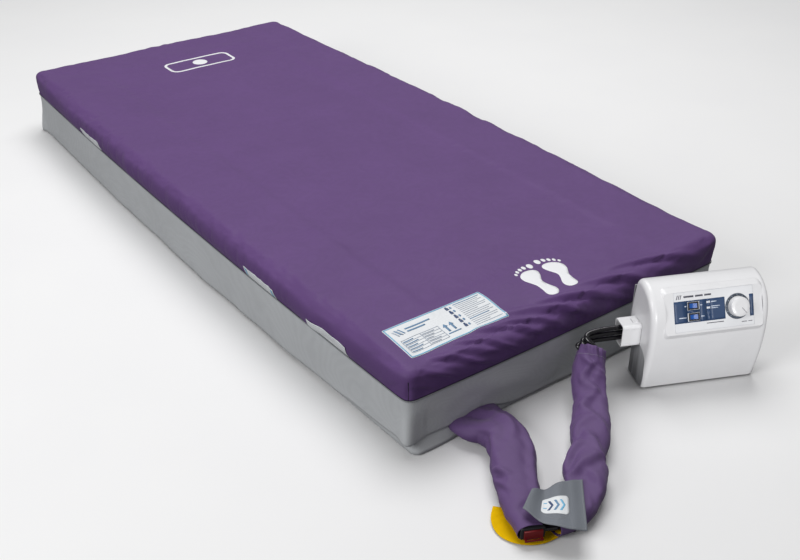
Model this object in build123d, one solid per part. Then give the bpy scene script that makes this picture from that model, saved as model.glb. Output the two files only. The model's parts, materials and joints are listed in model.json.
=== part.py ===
from build123d import *
import math
import os

# Alternating pressure relief mattress for a ward bed, with its air pump, hoses and CPR release.
# Millimetres. Origin at the centre of the mattress underside, +Y towards the head end, +X to the
# right seen from the foot end, +Z up. Everything stands on the plane z = 0.

# ---- mattress: overall sizes
HALF_WIDTH = 450.0
HALF_LENGTH = 1000.0
HEIGHT = 200.0
SEAM_Z = 130.0
SIDE_BOW = 16.0
END_BOW = 7.0
COVER_CORNER = 45.0
COVER_EDGE = 26.0
COVER_WALL = 1.5

# ---- mattress: base cover, skirt and zip
BASE_INSET = 16.0
BASE_WALL = 1.2
BASE_CORNER = 30.0
BASE_TOP_Z = 100.0
NECK_BOTTOM_Z = 111.5
FLAP_WALL = 1.2
FLAP_HEM_Z = 4.0
ZIP_Z = 108.0
ZIP_GAP = 1.2
COIL_HEIGHT = 2.2
TAPE_WALL = 1.0
TAPE_HEIGHT = 16.0
SLIDER_Y = -900.0
PULL_LENGTH = 32.0

# ---- mattress: pad, cells and air lines
PAD_TOP_Z = 8.0
INNER_LEFT = -408.0
INNER_RIGHT = 424.0
FOOT_SPACE = 44.0
CELL_COUNT = 18
STATIC_CELLS = 3
CELL_PITCH = 106.0
CELL_WIDTH = 103.0
CELL_BOTTOM_Z = 12.0
CELL_TOP_Z = 192.0
CELL_RADIUS = 48.0
CELL_WALL = 0.6
LINE_X = -421.0
LINE_RADIUS = 5.0
LINE_BORE = 3.4
LINE_LEVELS = {"a": 66.0, "b": 84.0, "static": 102.0}
PORT_RADIUS = 3.0

# ---- hoses on the floor, their sleeves and the CPR coupling
HOSE_EXIT_X = -280.0
FLOOR_HOSE_Z = 26.0
HOSE_SPACING = 12.0
LINE_CORNERS = ((-396, 4, 40), (-400, 2, 32), (-404, -1, 22))  # corner x, step along y to it and past it
SLEEVE_RADIUS = 24.0
SLEEVE_WALL = 1.2
GATHER_SETBACK = 7.0
COUPLING_AT = (-402.0, -1300.0, 25.0)
COUPLING_YAW = -26.0
COUPLING_SIZE = (46.0, 40.0, 26.0)
PLUG_RADIUS = 9.0
PLUG_DEPTH = 24.0
WEBBING_WIDTH = 45.0
WEBBING_THICKNESS = 1.4

# ---- pump: local frame at the middle of its front bottom edge, +X to its right, +Y to its back
PUMP_AT = (197.0, -1182.0, 0.0)
PUMP_YAW = -25.0
PUMP_WIDTH = 263.0
PUMP_HEIGHT = 237.0
PUMP_DEPTH = 96.0
CASE_WALL = 2.5
CASE_EDGE = 12.0
FOOT_HEIGHT = 5.0
SPLIT_Z = 97.0
PANEL_LEAN = 0.5
PANEL_CENTRE = (7.0, -1.25, 190.5)
PANEL_SIZE = (217.0, 88.0)
OVERLAY_SIZE = (177.0, 84.0)
OVERLAY_THICKNESS = 0.5
DIAL_AT = (52.0, 0.3)
DIAL_RADIUS = 21.5
DIAL_HEIGHT = 15.0
BEZEL_RADIUS = 27.0
POINTER_ANGLE = 140.0
SWITCH_AT = {"power": (-46.0, 11.5), "mode": (-45.0, -11.8)}
SWITCH_FRAME = (24.0, 16.0)
ROCKER_TILT = 8.0
LED_AT = ((-12.4, 16.0), (-10.6, 4.2))
OUTLET_Y = 51.0
OUTLET_LEVELS = (108.0, 121.0, 134.0)
NOZZLE_RADIUS = 4.0
CONNECTOR_LENGTH = 42.0
HOOK_X = (-80.0, 80.0)
HOOK_PIVOT = (101.0, 200.0)
HOOK_LENGTH = 42.0
HOOK_WIDTH = 22.0
SCREW_X = 110.0
SCREW_Z = (20.0, 80.0)
COMPRESSOR_X = -45.0
ARM_PIVOT_Z = 21.0
VALVE_AT = (60.0, 42.0)

# ---- run of the pump hoses: bundle centre, heading and twist in degrees at each station
PUMP_RUN = [
    ((-328.0, -1324.0, 26.0), 2.0, 0.0),
    ((-277.0, -1306.0, 26.0), 30.0, 0.0),
    ((-177.0, -1237.0, 26.0), 44.0, 0.0),
    ((-104.0, -1160.0, 32.0), 50.0, 10.0),
    ((-56.0, -1100.0, 64.0), 48.0, 35.0),
    ((-14.0, -1062.0, 104.0), 25.0, 60.0),
]


# ------------------------------------------------------------------ helpers

def block(x0, x1, y0, y1, z0, z1):
    """Box between two corners."""
    return Pos((x0 + x1) / 2, (y0 + y1) / 2, (z0 + z1) / 2) * Box(x1 - x0, y1 - y0, z1 - z0)


def rod(start, end, radius):
    """Round bar between two points."""
    a = Vector(*start)
    b = Vector(*end)
    return extrude(Plane(origin=a, z_dir=b - a) * Circle(radius), (b - a).length)


def bowed_outline(half_x, half_y, corner, bow_x=SIDE_BOW, bow_y=END_BOW):
    """Rectangle in plan whose sides bow outwards, with rounded corners."""
    corners = [(half_x, -half_y), (half_x, half_y), (-half_x, half_y), (-half_x, -half_y)]
    middles = [(half_x + bow_x, 0), (0, half_y + bow_y), (-half_x - bow_x, 0), (0, -half_y - bow_y)]
    arcs = []
    for i in range(4):
        arcs.append(ThreePointArc(corners[i], middles[i], corners[(i + 1) % 4]))
    face = make_face(arcs)
    return fillet(face.vertices(), corner)


def bowed_ring(outside, inside, z0, z1):
    """Upright band that follows the bowed outline, between two offsets from the nominal edge."""
    outer = bowed_outline(HALF_WIDTH + outside, HALF_LENGTH + outside, COVER_CORNER + outside)
    inner = bowed_outline(HALF_WIDTH + inside, HALF_LENGTH + inside, COVER_CORNER + inside)
    return Pos(0, 0, z0) * extrude(outer - inner, z1 - z0)


def straight_ring(outside, inside, z0, z1):
    """Upright band that follows the straight base outline, between two offsets from its wall."""
    half_x = HALF_WIDTH - BASE_INSET
    half_y = HALF_LENGTH - BASE_INSET
    outer = RectangleRounded(2 * (half_x + outside), 2 * (half_y + outside), BASE_CORNER + outside)
    inner = RectangleRounded(2 * (half_x + inside), 2 * (half_y + inside), BASE_CORNER + inside)
    return Pos(0, 0, z0) * extrude(outer - inner, z1 - z0)


def bent_tube(points, radius, bore):
    """Tube with straight ends and one smooth bend through the points between them."""
    first, second, *middle, last_but_one, last = [Vector(*p) for p in points]
    headings = [(second - first).normalized(), (last - last_but_one).normalized()]
    bend = Spline(second, *middle, last_but_one, tangents=headings)
    path = Wire([Line(first, second), bend, Line(last_but_one, last)])
    start = Plane(origin=first, z_dir=headings[0])
    outer = sweep(start * Circle(radius), path=path)
    return outer - sweep(start * Circle(bore), path=path)


def panel_plane():
    """Plane of the control panel: X to the right, Y up the slope, Z out of the face."""
    norm = math.hypot(PANEL_LEAN, 1.0)
    return Plane(origin=PANEL_CENTRE, x_dir=(1, 0, 0), z_dir=(0, -1 / norm, PANEL_LEAN / norm))


def in_pump(shape):
    """Moves a shape from the pump's own frame to the mattress frame."""
    return Pos(*PUMP_AT) * Rot(0, 0, PUMP_YAW) * shape


def in_coupling(shape):
    """Moves a shape from the coupling's own frame to the mattress frame."""
    return Pos(*COUPLING_AT) * Rot(0, 0, COUPLING_YAW) * shape


def save(name, shape):
    """Writes one named piece, or one group of like pieces."""
    solids = shape.solids()
    result = solids[0] if len(solids) == 1 else Compound(children=list(solids))
    result.label = name
    export_step(result, "parts/" + name + ".step")


# ------------------------------------------------------------------ mattress covers

def top_cover():
    """Purple vapour-permeable shell with rounded edges and a neck that comes down to the zip."""
    outer = Pos(0, 0, SEAM_Z) * extrude(
        bowed_outline(HALF_WIDTH, HALF_LENGTH, COVER_CORNER), HEIGHT - SEAM_Z
    )
    outer = fillet(outer.edges().group_by(Axis.Z)[-1], COVER_EDGE)
    inset = COVER_WALL
    inner = Pos(0, 0, SEAM_Z + inset) * extrude(
        bowed_outline(HALF_WIDTH - inset, HALF_LENGTH - inset, COVER_CORNER - inset),
        HEIGHT - SEAM_Z - 2 * inset,
    )
    inner = fillet(inner.edges().group_by(Axis.Z)[-1], COVER_EDGE - inset)
    neck = straight_ring(2.0, 2.0 - inset, NECK_BOTTOM_Z, SEAM_Z + inset)
    half_x = HALF_WIDTH - BASE_INSET + 2.0 - inset
    half_y = HALF_LENGTH - BASE_INSET + 2.0 - inset
    throat = extrude(RectangleRounded(2 * half_x, 2 * half_y, BASE_CORNER + 2.0 - inset), 40)
    return outer - inner - Pos(0, 0, SEAM_Z - 20) * throat + neck


def skirt_flap():
    """Grey waterproof flap sewn into the seam; it hangs over the zip, notched at the hose exit."""
    flap = bowed_ring(0.0, -FLAP_WALL, FLAP_HEM_Z, SEAM_Z - 0.1)
    notch = block(HOSE_EXIT_X - 70, HOSE_EXIT_X + 70, -HALF_LENGTH - 30, -HALF_LENGTH + 30, 0, 54)
    return flap - notch


def side_tags():
    """White handling tags caught in the seam on the left side."""
    band = bowed_ring(0.9, 0.25, SEAM_Z + 1.2, SEAM_Z + 28)
    tags = None
    for centre, length in ((523.0, 127.0), (-452.0, 131.0), (-726.0, 138.0)):
        y0 = centre - length / 2
        tag = band & block(-HALF_WIDTH - 40, 0, y0, y0 + length, 0, HEIGHT)
        tags = tag if tags is None else tags + tag
    return tags


def care_label():
    """Printed care label welded to the top at the foot end, on the left."""
    return Pos(-285, -909.5, HEIGHT) * extrude(RectangleRounded(250, 101, 4), 0.4)


def footprint():
    """One bare left footprint with its heel at the origin and its toes towards +Y."""
    outer_side = [(0, 0), (13, 13), (9, 42), (17, 62), (16, 84)]
    inner_side = [(-4, 92), (-22, 80), (-23, 60), (-13, 34), (-12, 10)]
    outline = outer_side + inner_side
    marks = make_face(Spline(*outline, periodic=True))
    toes = [(10, 101, 8.5), (-5, 103, 5.5), (-15, 98, 5.0), (-23, 91, 4.5), (-29, 82, 4.0)]
    solids = extrude(marks, 0.3)
    for x, y, radius in toes:
        solids += extrude(Pos(x, y) * Ellipse(radius * 0.75, radius), 0.3)
    return solids


def printed_motifs():
    """White marks on the top: a pair of footprints at the foot end, a pillow at the head end."""
    left = Pos(-34, -962, HEIGHT) * Rot(0, 0, 7) * footprint()
    right = Pos(30, -962, HEIGHT) * Rot(0, 0, -7) * mirror(footprint(), about=Plane.YZ)
    pillow = RectangleRounded(230, 92, 26) - RectangleRounded(212, 74, 18)
    head = Pos(0, 764, HEIGHT) * extrude(pillow, 0.3)
    head += Pos(0, 764, HEIGHT) * extrude(Circle(24), 0.3)
    return Pos(0, 0, 0.1) * (left + right + Pos(20, 0, 0) * head)


def base_cover():
    """Grey tray under the cells, with a slot in its foot wall for the air lines."""
    half_x = HALF_WIDTH - BASE_INSET
    half_y = HALF_LENGTH - BASE_INSET
    floor = extrude(RectangleRounded(2 * half_x, 2 * half_y, BASE_CORNER), BASE_WALL)
    tray = floor + straight_ring(0.0, -BASE_WALL, 0.0, BASE_TOP_Z)
    slot = block(HOSE_EXIT_X - 34, HOSE_EXIT_X + 34, -half_y - 5, -half_y + 5, 8, 44)
    return tray - slot


# ------------------------------------------------------------------ zip

def zip_tape(side):
    """Woven tape with its nylon coil; side is -1 for the base cover's half, +1 for the top's."""
    coil_near = ZIP_Z + side * ZIP_GAP / 2
    coil_far = coil_near + side * COIL_HEIGHT
    tape_far = coil_near + side * TAPE_HEIGHT
    wall = 0.1 if side < 0 else 2.1
    coil = straight_ring(4.0, 1.15, min(coil_near, coil_far), max(coil_near, coil_far))
    tape = straight_ring(wall + TAPE_WALL, wall, min(coil_near, tape_far), max(coil_near, tape_far))
    return coil + tape


def zip_slider():
    """Slider of two plates joined by a thin bridge that runs between the coils, with two ears."""
    wall = -(HALF_WIDTH - BASE_INSET)
    y0 = SLIDER_Y - 9
    y1 = SLIDER_Y + 9
    inner_plate = block(wall + 0.8, wall + 2.2, y0, y1, ZIP_Z - 5.5, ZIP_Z + 3)
    outer_plate = block(wall - 6.2, wall - 4.4, y0, y1, ZIP_Z - 5.5, ZIP_Z + 5.5)
    bridge = block(wall - 4.4, wall + 0.8, y0 + 12, y1 - 2, ZIP_Z - 0.4, ZIP_Z + 0.4)
    slider = inner_plate + outer_plate + bridge
    for side in (-1, 1):
        y = SLIDER_Y + side * 5
        slider += block(wall - 10.4, wall - 6.2, y - 0.8, y + 0.8, ZIP_Z - 1.8, ZIP_Z + 1.8)
    pin = rod((wall - 8.6, SLIDER_Y - 5, ZIP_Z), (wall - 8.6, SLIDER_Y + 5, ZIP_Z), 0.9)
    return slider + pin


def zip_pull():
    """Pull tab that hangs from the slider's pin."""
    pivot_x = -(HALF_WIDTH - BASE_INSET) - 8.6
    start = (pivot_x, SLIDER_Y - 3.9, ZIP_Z)
    end = (pivot_x, SLIDER_Y + 3.9, ZIP_Z)
    low = ZIP_Z - PULL_LENGTH
    tab = block(pivot_x - 0.6, pivot_x + 0.6, SLIDER_Y - 3.9, SLIDER_Y + 3.9, low, ZIP_Z - 1.2)
    return rod(start, end, 1.8) + tab - rod(start, end, 0.95)


# ------------------------------------------------------------------ pad and cells

def cell_y(index):
    """Centre of a cell; cell 0 is at the foot end."""
    first = -HALF_LENGTH + BASE_INSET + BASE_WALL + FOOT_SPACE + CELL_WIDTH / 2
    return first + index * CELL_PITCH


def cell_line(index):
    """Name of the air line that feeds a cell."""
    if index >= CELL_COUNT - STATIC_CELLS:
        return "static"
    return "a" if index % 2 == 0 else "b"


def air_cell(index):
    """One hollow air cell that lies across the mattress, with a port hole in its left end."""
    height = CELL_TOP_Z - CELL_BOTTOM_Z
    y = cell_y(index)
    left_end = (INNER_LEFT, y, CELL_BOTTOM_Z + height / 2)
    start = Plane(origin=left_end, x_dir=(0, 1, 0), z_dir=(1, 0, 0))
    length = INNER_RIGHT - INNER_LEFT
    outer = extrude(start * RectangleRounded(CELL_WIDTH, height, CELL_RADIUS), length)
    wall = CELL_WALL
    hollow_section = RectangleRounded(CELL_WIDTH - 2 * wall, height - 2 * wall, CELL_RADIUS - wall)
    hollow = Pos(wall, 0, 0) * extrude(start * hollow_section, length - 2 * wall)
    level = LINE_LEVELS[cell_line(index)]
    port = rod((INNER_LEFT - 1, y, level), (INNER_LEFT + 2, y, level), PORT_RADIUS + 0.1)
    return outer - hollow - port


def cell_group(line):
    """All the cells fed by one line."""
    cells = [air_cell(i) for i in range(CELL_COUNT) if cell_line(i) == line]
    return Compound(children=cells)


def cell_connectors():
    """Barbed stubs between the air lines and the cells."""
    stubs = []
    for i in range(CELL_COUNT):
        level = LINE_LEVELS[cell_line(i)]
        start = (LINE_X + LINE_RADIUS + 0.1, cell_y(i), level)
        collar_start = (INNER_LEFT - 3.5, cell_y(i), level)
        collar_end = (INNER_LEFT - 0.3, cell_y(i), level)
        end = (INNER_LEFT + 5, cell_y(i), level)
        stub = rod(start, end, PORT_RADIUS) + rod(collar_start, collar_end, PORT_RADIUS + 2)
        stubs.append(stub - rod(start, end, PORT_RADIUS - 1.2))
    return Compound(children=stubs)


def cell_press_studs():
    """Press studs that hold the cells to their sheet."""
    studs = []
    for i in range(CELL_COUNT):
        for x in (-300, 300):
            studs.append(rod((x, cell_y(i), PAD_TOP_Z + 1.7), (x, cell_y(i), CELL_BOTTOM_Z - 0.2), 6))
    return Compound(children=studs)


def base_pad():
    """Felt pad under the cells, cut back at the left and at the foot for the air lines."""
    foot = -HALF_LENGTH + BASE_INSET + BASE_WALL + FOOT_SPACE
    pad = block(INNER_LEFT - 4, 430, foot, 980, BASE_WALL + 0.4, PAD_TOP_Z)
    return fillet(pad.edges().filter_by(Axis.Z), BASE_CORNER)


def cell_sheet():
    """Woven sheet that the cells are studded to."""
    foot = -HALF_LENGTH + BASE_INSET + BASE_WALL + FOOT_SPACE
    sheet = block(INNER_LEFT, INNER_RIGHT, foot, 976, PAD_TOP_Z + 0.5, PAD_TOP_Z + 1.5)
    return fillet(sheet.edges().filter_by(Axis.Z), BASE_CORNER)


# ------------------------------------------------------------------ hoses, sleeves, coupling

def coupling_point(x, y, z):
    """Point given in the coupling's frame, moved to the mattress frame."""
    turn = math.radians(COUPLING_YAW)
    return (
        COUPLING_AT[0] + x * math.cos(turn) - y * math.sin(turn),
        COUPLING_AT[1] + x * math.sin(turn) + y * math.cos(turn),
        COUPLING_AT[2] + z,
    )


def pump_point(x, y, z):
    """Point given in the pump's frame, moved to the mattress frame."""
    turn = math.radians(PUMP_YAW)
    return (
        PUMP_AT[0] + x * math.cos(turn) - y * math.sin(turn),
        PUMP_AT[1] + x * math.sin(turn) + y * math.cos(turn),
        PUMP_AT[2] + z,
    )


def feed_line(order):
    """Air line from the CPR coupling, through the base cover's slot and up the left side."""
    shift = (order - 1) * HOSE_SPACING
    level = LINE_LEVELS[("a", "b", "static")[order]]
    port = COUPLING_SIZE[1] / 2 + 0.4
    turn_y = -HALF_LENGTH + BASE_INSET + BASE_WALL + 9 + (order * HOSE_SPACING)
    corner_x, corner_step, rise_step = LINE_CORNERS[order]
    spread = 1.25 * shift
    narrow = 1.2 * shift
    across = math.radians(-27)
    points = [
        coupling_point(shift, port, 0),
        coupling_point(shift, port + 20, 0),
        (-352 + spread * math.cos(across), -1215 + spread * math.sin(across), FLOOR_HOSE_Z),
        (-300 + narrow * math.cos(across), -1115 + narrow * math.sin(across), FLOOR_HOSE_Z),
        (HOSE_EXIT_X + shift, -1010, FLOOR_HOSE_Z),
        (HOSE_EXIT_X + shift - 1, -988, FLOOR_HOSE_Z),
        (HOSE_EXIT_X + shift - 20, turn_y, FLOOR_HOSE_Z + 3),
        (-345, turn_y, FLOOR_HOSE_Z + 0.3 * (level - FLOOR_HOSE_Z)),
        (corner_x, turn_y + corner_step, FLOOR_HOSE_Z + 0.8 * (level - FLOOR_HOSE_Z)),
        (LINE_X, turn_y + rise_step, level),
        (LINE_X, cell_y(CELL_COUNT - 1) + 20, level),
    ]
    return bent_tube(points, LINE_RADIUS, LINE_BORE)


def bundle_point(centre, heading, twist, order):
    """Place of one of three hoses about the bundle's centre; twist 0 is flat, 90 is upright."""
    shift = (order - 1) * HOSE_SPACING
    side = math.radians(heading - 90)
    lean = math.radians(twist)
    return (
        centre[0] + shift * math.cos(lean) * math.cos(side),
        centre[1] + shift * math.cos(lean) * math.sin(side),
        centre[2] + shift * math.sin(lean),
    )


def pump_hose(order):
    """Air hose from the CPR coupling to the pump connector."""
    shift = (order - 1) * HOSE_SPACING
    port = COUPLING_SIZE[0] / 2 + 0.4
    inner_face = -PUMP_WIDTH / 2 - CONNECTOR_LENGTH + 24
    points = [coupling_point(port, -shift, 0), coupling_point(port + 18, -shift, 0)]
    points += [bundle_point(centre, heading, twist, order) for centre, heading, twist in PUMP_RUN]
    level = OUTLET_LEVELS[order]
    points += [
        pump_point(inner_face - 26, OUTLET_Y, level),
        pump_point(inner_face - 0.4, OUTLET_Y, level),
    ]
    return bent_tube(points, LINE_RADIUS, LINE_BORE)


def hose_sleeve_mattress():
    """Fabric sleeve over the air lines, from the base cover to the CPR coupling."""
    points = [
        coupling_point(0, COUPLING_SIZE[1] / 2 + 4, 1),
        coupling_point(0, COUPLING_SIZE[1] / 2 + 20, 1),
        (-352, -1215, FLOOR_HOSE_Z),
        (-300, -1115, FLOOR_HOSE_Z),
        (HOSE_EXIT_X, -1010, FLOOR_HOSE_Z),
        (HOSE_EXIT_X - 1, -987, FLOOR_HOSE_Z),
    ]
    return bent_tube(points, SLEEVE_RADIUS, SLEEVE_RADIUS - SLEEVE_WALL)


def hose_sleeve_pump():
    """Fabric sleeve over the pump hoses, from the CPR coupling to its gathered end at the pump."""
    points = [coupling_point(COUPLING_SIZE[0] / 2 + 16, 0, 1)]
    points += [centre for centre, heading, twist in PUMP_RUN]
    end = Vector(*points[-1])
    back = (Vector(*points[-2]) - end).normalized()
    points[-1] = tuple(end + back * GATHER_SETBACK)
    return bent_tube(points, SLEEVE_RADIUS, SLEEVE_RADIUS - SLEEVE_WALL)


def cpr_coupling():
    """Quick-release block that joins the air lines to the pump hoses, with a bore for the plug."""
    x, y, z = COUPLING_SIZE
    body = fillet(Box(x, y, z).edges(), 3)
    for order in range(3):
        shift = (order - 1) * HOSE_SPACING
        body += rod((shift, y / 2 - 4, 0), (shift, y / 2 + 10, 0), LINE_BORE - 0.2)
        body += rod((x / 2 - 4, shift, 0), (x / 2 + 10, shift, 0), LINE_BORE - 0.2)
    bore = rod((0, -y / 2 - 1, 0), (0, -y / 2 + PLUG_DEPTH, 0), PLUG_RADIUS + 0.06)
    return in_coupling(body - bore)


def cpr_plug():
    """Plug that vents every cell when it is pulled, with a flange slotted for the strap."""
    y = COUPLING_SIZE[1] / 2
    plug = rod((0, -y - 0.3, 0), (0, -y + PLUG_DEPTH - 1, 0), PLUG_RADIUS)
    flange = block(-17, 17, -y - 4.3, -y - 0.3, -9, 9)
    bow = block(-17, 17, -y - 10.3, -y - 4.3, -9, -6) - block(-13, 13, -y - 8.3, -y - 4.3, -9, -6)
    return in_coupling(plug + flange + bow)


def cpr_strap():
    """Yellow webbing: a tail laid flat on the floor under the coupling and a tab at the plug."""
    half_width = WEBBING_WIDTH / 2
    half_length = 66.0
    tail = block(-half_width, half_width, -half_length, half_length, 0, WEBBING_THICKNESS)
    tail = fillet(tail.edges().filter_by(Axis.Z), 8)
    tail = Pos(-398, -1266, 0.3) * Rot(0, 0, 36) * tail
    y = COUPLING_SIZE[1] / 2
    lift = COUPLING_AT[2] - 0.3
    riser = block(-12, 12, -y - 7.9, -y - 6.5, -lift, -1)
    bottom = block(-12, 12, -y - 7.9, -y + 26, -lift, -lift + WEBBING_THICKNESS)
    return tail + in_coupling(riser + bottom)


def cpr_tag():
    """Grey fabric tag that lies over the sleeves and points out the CPR release."""
    corners = [(-366, -1262), (-264, -1288), (-348, -1384), (-385, -1358), (-411, -1288)]
    face = make_face(Polyline(*corners, close=True))
    return Pos(0, 0, 51.5) * extrude(fillet(face.vertices(), 4), 1.2)


# ------------------------------------------------------------------ pump connector

def pump_connector():
    """White plug that carries the hoses: an open shell with a bored block that takes the nozzles."""
    right = -PUMP_WIDTH / 2 - 0.7
    left = right - CONNECTOR_LENGTH + 0.7
    face = left + 24
    start = Plane(origin=(left, OUTLET_Y, OUTLET_LEVELS[1]), x_dir=(0, 1, 0), z_dir=(1, 0, 0))
    body = extrude(start * RectangleRounded(42, 52, 6), right - left)
    body -= extrude(start * RectangleRounded(37, 47, 4), face - left)
    for level in (OUTLET_LEVELS[1] - 19, OUTLET_LEVELS[1] + 19):
        body -= block(left + 4, right - 3, OUTLET_Y - 21.5, OUTLET_Y - 20, level - 0.8, level + 0.8)
    for level in OUTLET_LEVELS:
        body -= rod((face - 1, OUTLET_Y, level), (right + 1, OUTLET_Y, level), NOZZLE_RADIUS + 0.08)
    top = OUTLET_LEVELS[2] + 14
    latch_slot = block(face + 2, right - 2, OUTLET_Y - 8.2, OUTLET_Y + 8.2, top - 7.5, top)
    return in_pump(body - latch_slot)


def release_latch():
    """Push tab on top of the connector that lets it off the pump."""
    right = -PUMP_WIDTH / 2 - 3.2
    left = -PUMP_WIDTH / 2 - 15
    top = OUTLET_LEVELS[2] + 14.5
    tab = block(left, right, OUTLET_Y - 8, OUTLET_Y + 8, top - 4.5, top)
    grip = block(left + 2, left + 4, OUTLET_Y - 7, OUTLET_Y + 7, top, top + 0.6)
    return in_pump(tab + grip)


# ------------------------------------------------------------------ pump case

def silhouette():
    """Side view of the whole pump, a chain of tangent arcs: X here is depth, Y is height."""
    belly = (-17, 120)
    lower_front = TangentArc(belly, (0, FOOT_HEIGHT), tangent=(0, -1))
    outline = [belly, (-9.6, 179), (12, 216), (64, PUMP_HEIGHT), (88, 218), (PUMP_DEPTH, 150)]
    arcs = [TangentArc(belly, outline[1], tangent=(0, 1))]
    for start, end in zip(outline[1:], outline[2:]):
        arcs.append(TangentArc(start, end, tangent=arcs[-1] % 1))
    back = Polyline((PUMP_DEPTH, 150), (PUMP_DEPTH, FOOT_HEIGHT), (0, FOOT_HEIGHT))
    return make_face([lower_front] + arcs + list(back.edges()))


def across(face, half_width):
    """Side-view face stretched to both sides of the pump's middle."""
    side = Plane(origin=(-half_width, 0, 0), x_dir=(0, 1, 0), z_dir=(1, 0, 0))
    return extrude(side * face, 2 * half_width)


def white_region():
    """Side-view region of the front case: the whole depth above the split, a thin front below."""
    upper = ThreePointArc((27, SPLIT_Z), (4, 85), (-2.6, 60))
    lower = ThreePointArc((-2.6, 60), (-1.5, 32), (4, FOOT_HEIGHT - 1))
    low = FOOT_HEIGHT - 1
    rest = Polyline((4, low), (-60, low), (-60, 260), (140, 260), (140, SPLIT_Z), (27, SPLIT_Z))
    return make_face([upper, lower] + list(rest.edges()))


def soft_form(inset):
    """The pump's whole form, shrunk by an inset, with its long side edges rounded."""
    face = offset(silhouette(), -inset) if inset else silhouette()
    half = PUMP_WIDTH / 2 - inset
    form = across(face, half)
    side_edges = []
    for edge in form.edges().filter_by(GeomType.LINE, reverse=True):
        if abs(abs(edge.center().X) - half) < 0.01:
            side_edges.append(edge)
    return fillet(side_edges, CASE_EDGE - inset)


def panel_window():
    """Rounded outline of the raised panel in its own plane."""
    return panel_plane() * (Pos(0, -2) * RectangleRounded(PANEL_SIZE[0], PANEL_SIZE[1], 7))


def outer_form():
    """Outer skin of the pump with the leaning panel formed on it, bevelled all round."""
    window = panel_window()
    return soft_form(0) - extrude(window, 30) + extrude(window, -14, taper=-38)


def front_case():
    """White front and top moulding."""
    hollow = soft_form(CASE_WALL)
    back_opening = block(-PUMP_WIDTH / 2 + CASE_WALL, PUMP_WIDTH / 2 - CASE_WALL, 80, 120, SPLIT_Z - 40, 209)
    plane = panel_plane()
    plate = extrude(panel_window(), -3)
    case = (outer_form() & across(white_region(), 150)) - (hollow + back_opening - plate)
    for x in (-SCREW_X, SCREW_X):
        for z in SCREW_Z:
            boss = rod((x, -14, z), (x, 69, z), 4.5) & across(silhouette(), PUMP_WIDTH / 2)
            case += boss
            case -= rod((x, 50, z), (x, 80, z), 2.05)
    for x, slope in SWITCH_AT.values():
        case -= extrude(plane * (Pos(x, slope) * Rectangle(22, 14.2)), 4, both=True)
    case -= extrude(plane * (Pos(*DIAL_AT) * Circle(5)), 4, both=True)
    for spot in LED_AT:
        case -= extrude(plane * (Pos(*spot) * Circle(1.6)), 4, both=True)
    wall = -PUMP_WIDTH / 2
    for level in OUTLET_LEVELS:
        case -= rod((wall - 5, OUTLET_Y, level), (wall + 5, OUTLET_Y, level), NOZZLE_RADIUS + 0.3)
    key_hole = block(wall - 5, wall + 5, 74, 88, 122, 134)
    case -= fillet(key_hole.edges().filter_by(Axis.X), 2)
    return in_pump(case)


def rear_case():
    """Grey rear tray with rounded upright corners."""
    def footprint_face(inset):
        face = RectangleRounded(PUMP_WIDTH - 3 - 2 * inset, 110 - 2 * inset, 26 - inset)
        return Pos(0, 89.5 - 55) * face
    outer = Pos(0, 0, FOOT_HEIGHT) * extrude(footprint_face(0), SPLIT_Z - 0.4 - FOOT_HEIGHT)
    inner = Pos(0, 0, FOOT_HEIGHT + CASE_WALL) * extrude(footprint_face(CASE_WALL), SPLIT_Z)
    case = outer - inner
    for x in (-SCREW_X, SCREW_X):
        for z in SCREW_Z:
            case -= rod((x, 60, z), (x, 100, z), 2.2)
            case -= rod((x, -60, z), (x, 70, z), 4.9)
    case -= block(PUMP_WIDTH / 2 - 10, PUMP_WIDTH / 2 + 5, 30.8, 59.2, 27.8, 74.2)
    return in_pump(case - across(offset(white_region(), 0.3), 150) - across(front_skin_gap(), 150))


def front_skin_gap():
    """Side-view region in front of the pump's split line that the rear case stays out of."""
    return Pos(-50, 50) * Rectangle(94, 120)


def back_panel():
    """Flat back with two slots for the folded hook tips and two pairs of hinge ears."""
    half = PUMP_WIDTH / 2 - CASE_WALL - 0.4
    panel = block(-half, half, 92.5, 95.5, SPLIT_Z + 0.4, 208)
    pivot_y, pivot_z = HOOK_PIVOT
    for x in HOOK_X:
        panel -= block(x - 13.5, x + 13.5, 90, 100, 148, 168)
        for side in (-1, 1):
            ear_x = x + side * (HOOK_WIDTH / 2 + 2.3)
            ear = block(ear_x - 1.8, ear_x + 1.8, 95.5, pivot_y + 4, pivot_z - 5, pivot_z + 4)
            panel += ear - rod((ear_x - 3, pivot_y, pivot_z), (ear_x + 3, pivot_y, pivot_z), 2.06)
    for x in range(-40, 41, 16):
        panel -= block(x - 5, x + 5, 90, 100, 120, 124)
        panel -= block(x - 5, x + 5, 90, 100, 132, 136)
    return in_pump(panel)


def hanger_hook(x):
    """Fold-out bed hook: barrel, leg and a turned-in tip that rests in the back panel's slot."""
    pivot_y, pivot_z = HOOK_PIVOT
    half = HOOK_WIDTH / 2
    hook = rod((x - half, pivot_y, pivot_z), (x + half, pivot_y, pivot_z), 3.8)
    low = pivot_z - HOOK_LENGTH
    hook += block(x - half, x + half, pivot_y - 1.5, pivot_y + 2.5, low, pivot_z)
    hook += block(x - half, x + half, pivot_y - 21, pivot_y + 2.5, low, low + 4)
    return in_pump(hook - rod((x - 20, pivot_y, pivot_z), (x + 20, pivot_y, pivot_z), 2.06))


def hook_pivot_pins():
    """Steel pins that the hooks turn on."""
    pivot_y, pivot_z = HOOK_PIVOT
    pins = [rod((x - 15, pivot_y, pivot_z), (x + 15, pivot_y, pivot_z), 2.0) for x in HOOK_X]
    return in_pump(Compound(children=pins))


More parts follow.
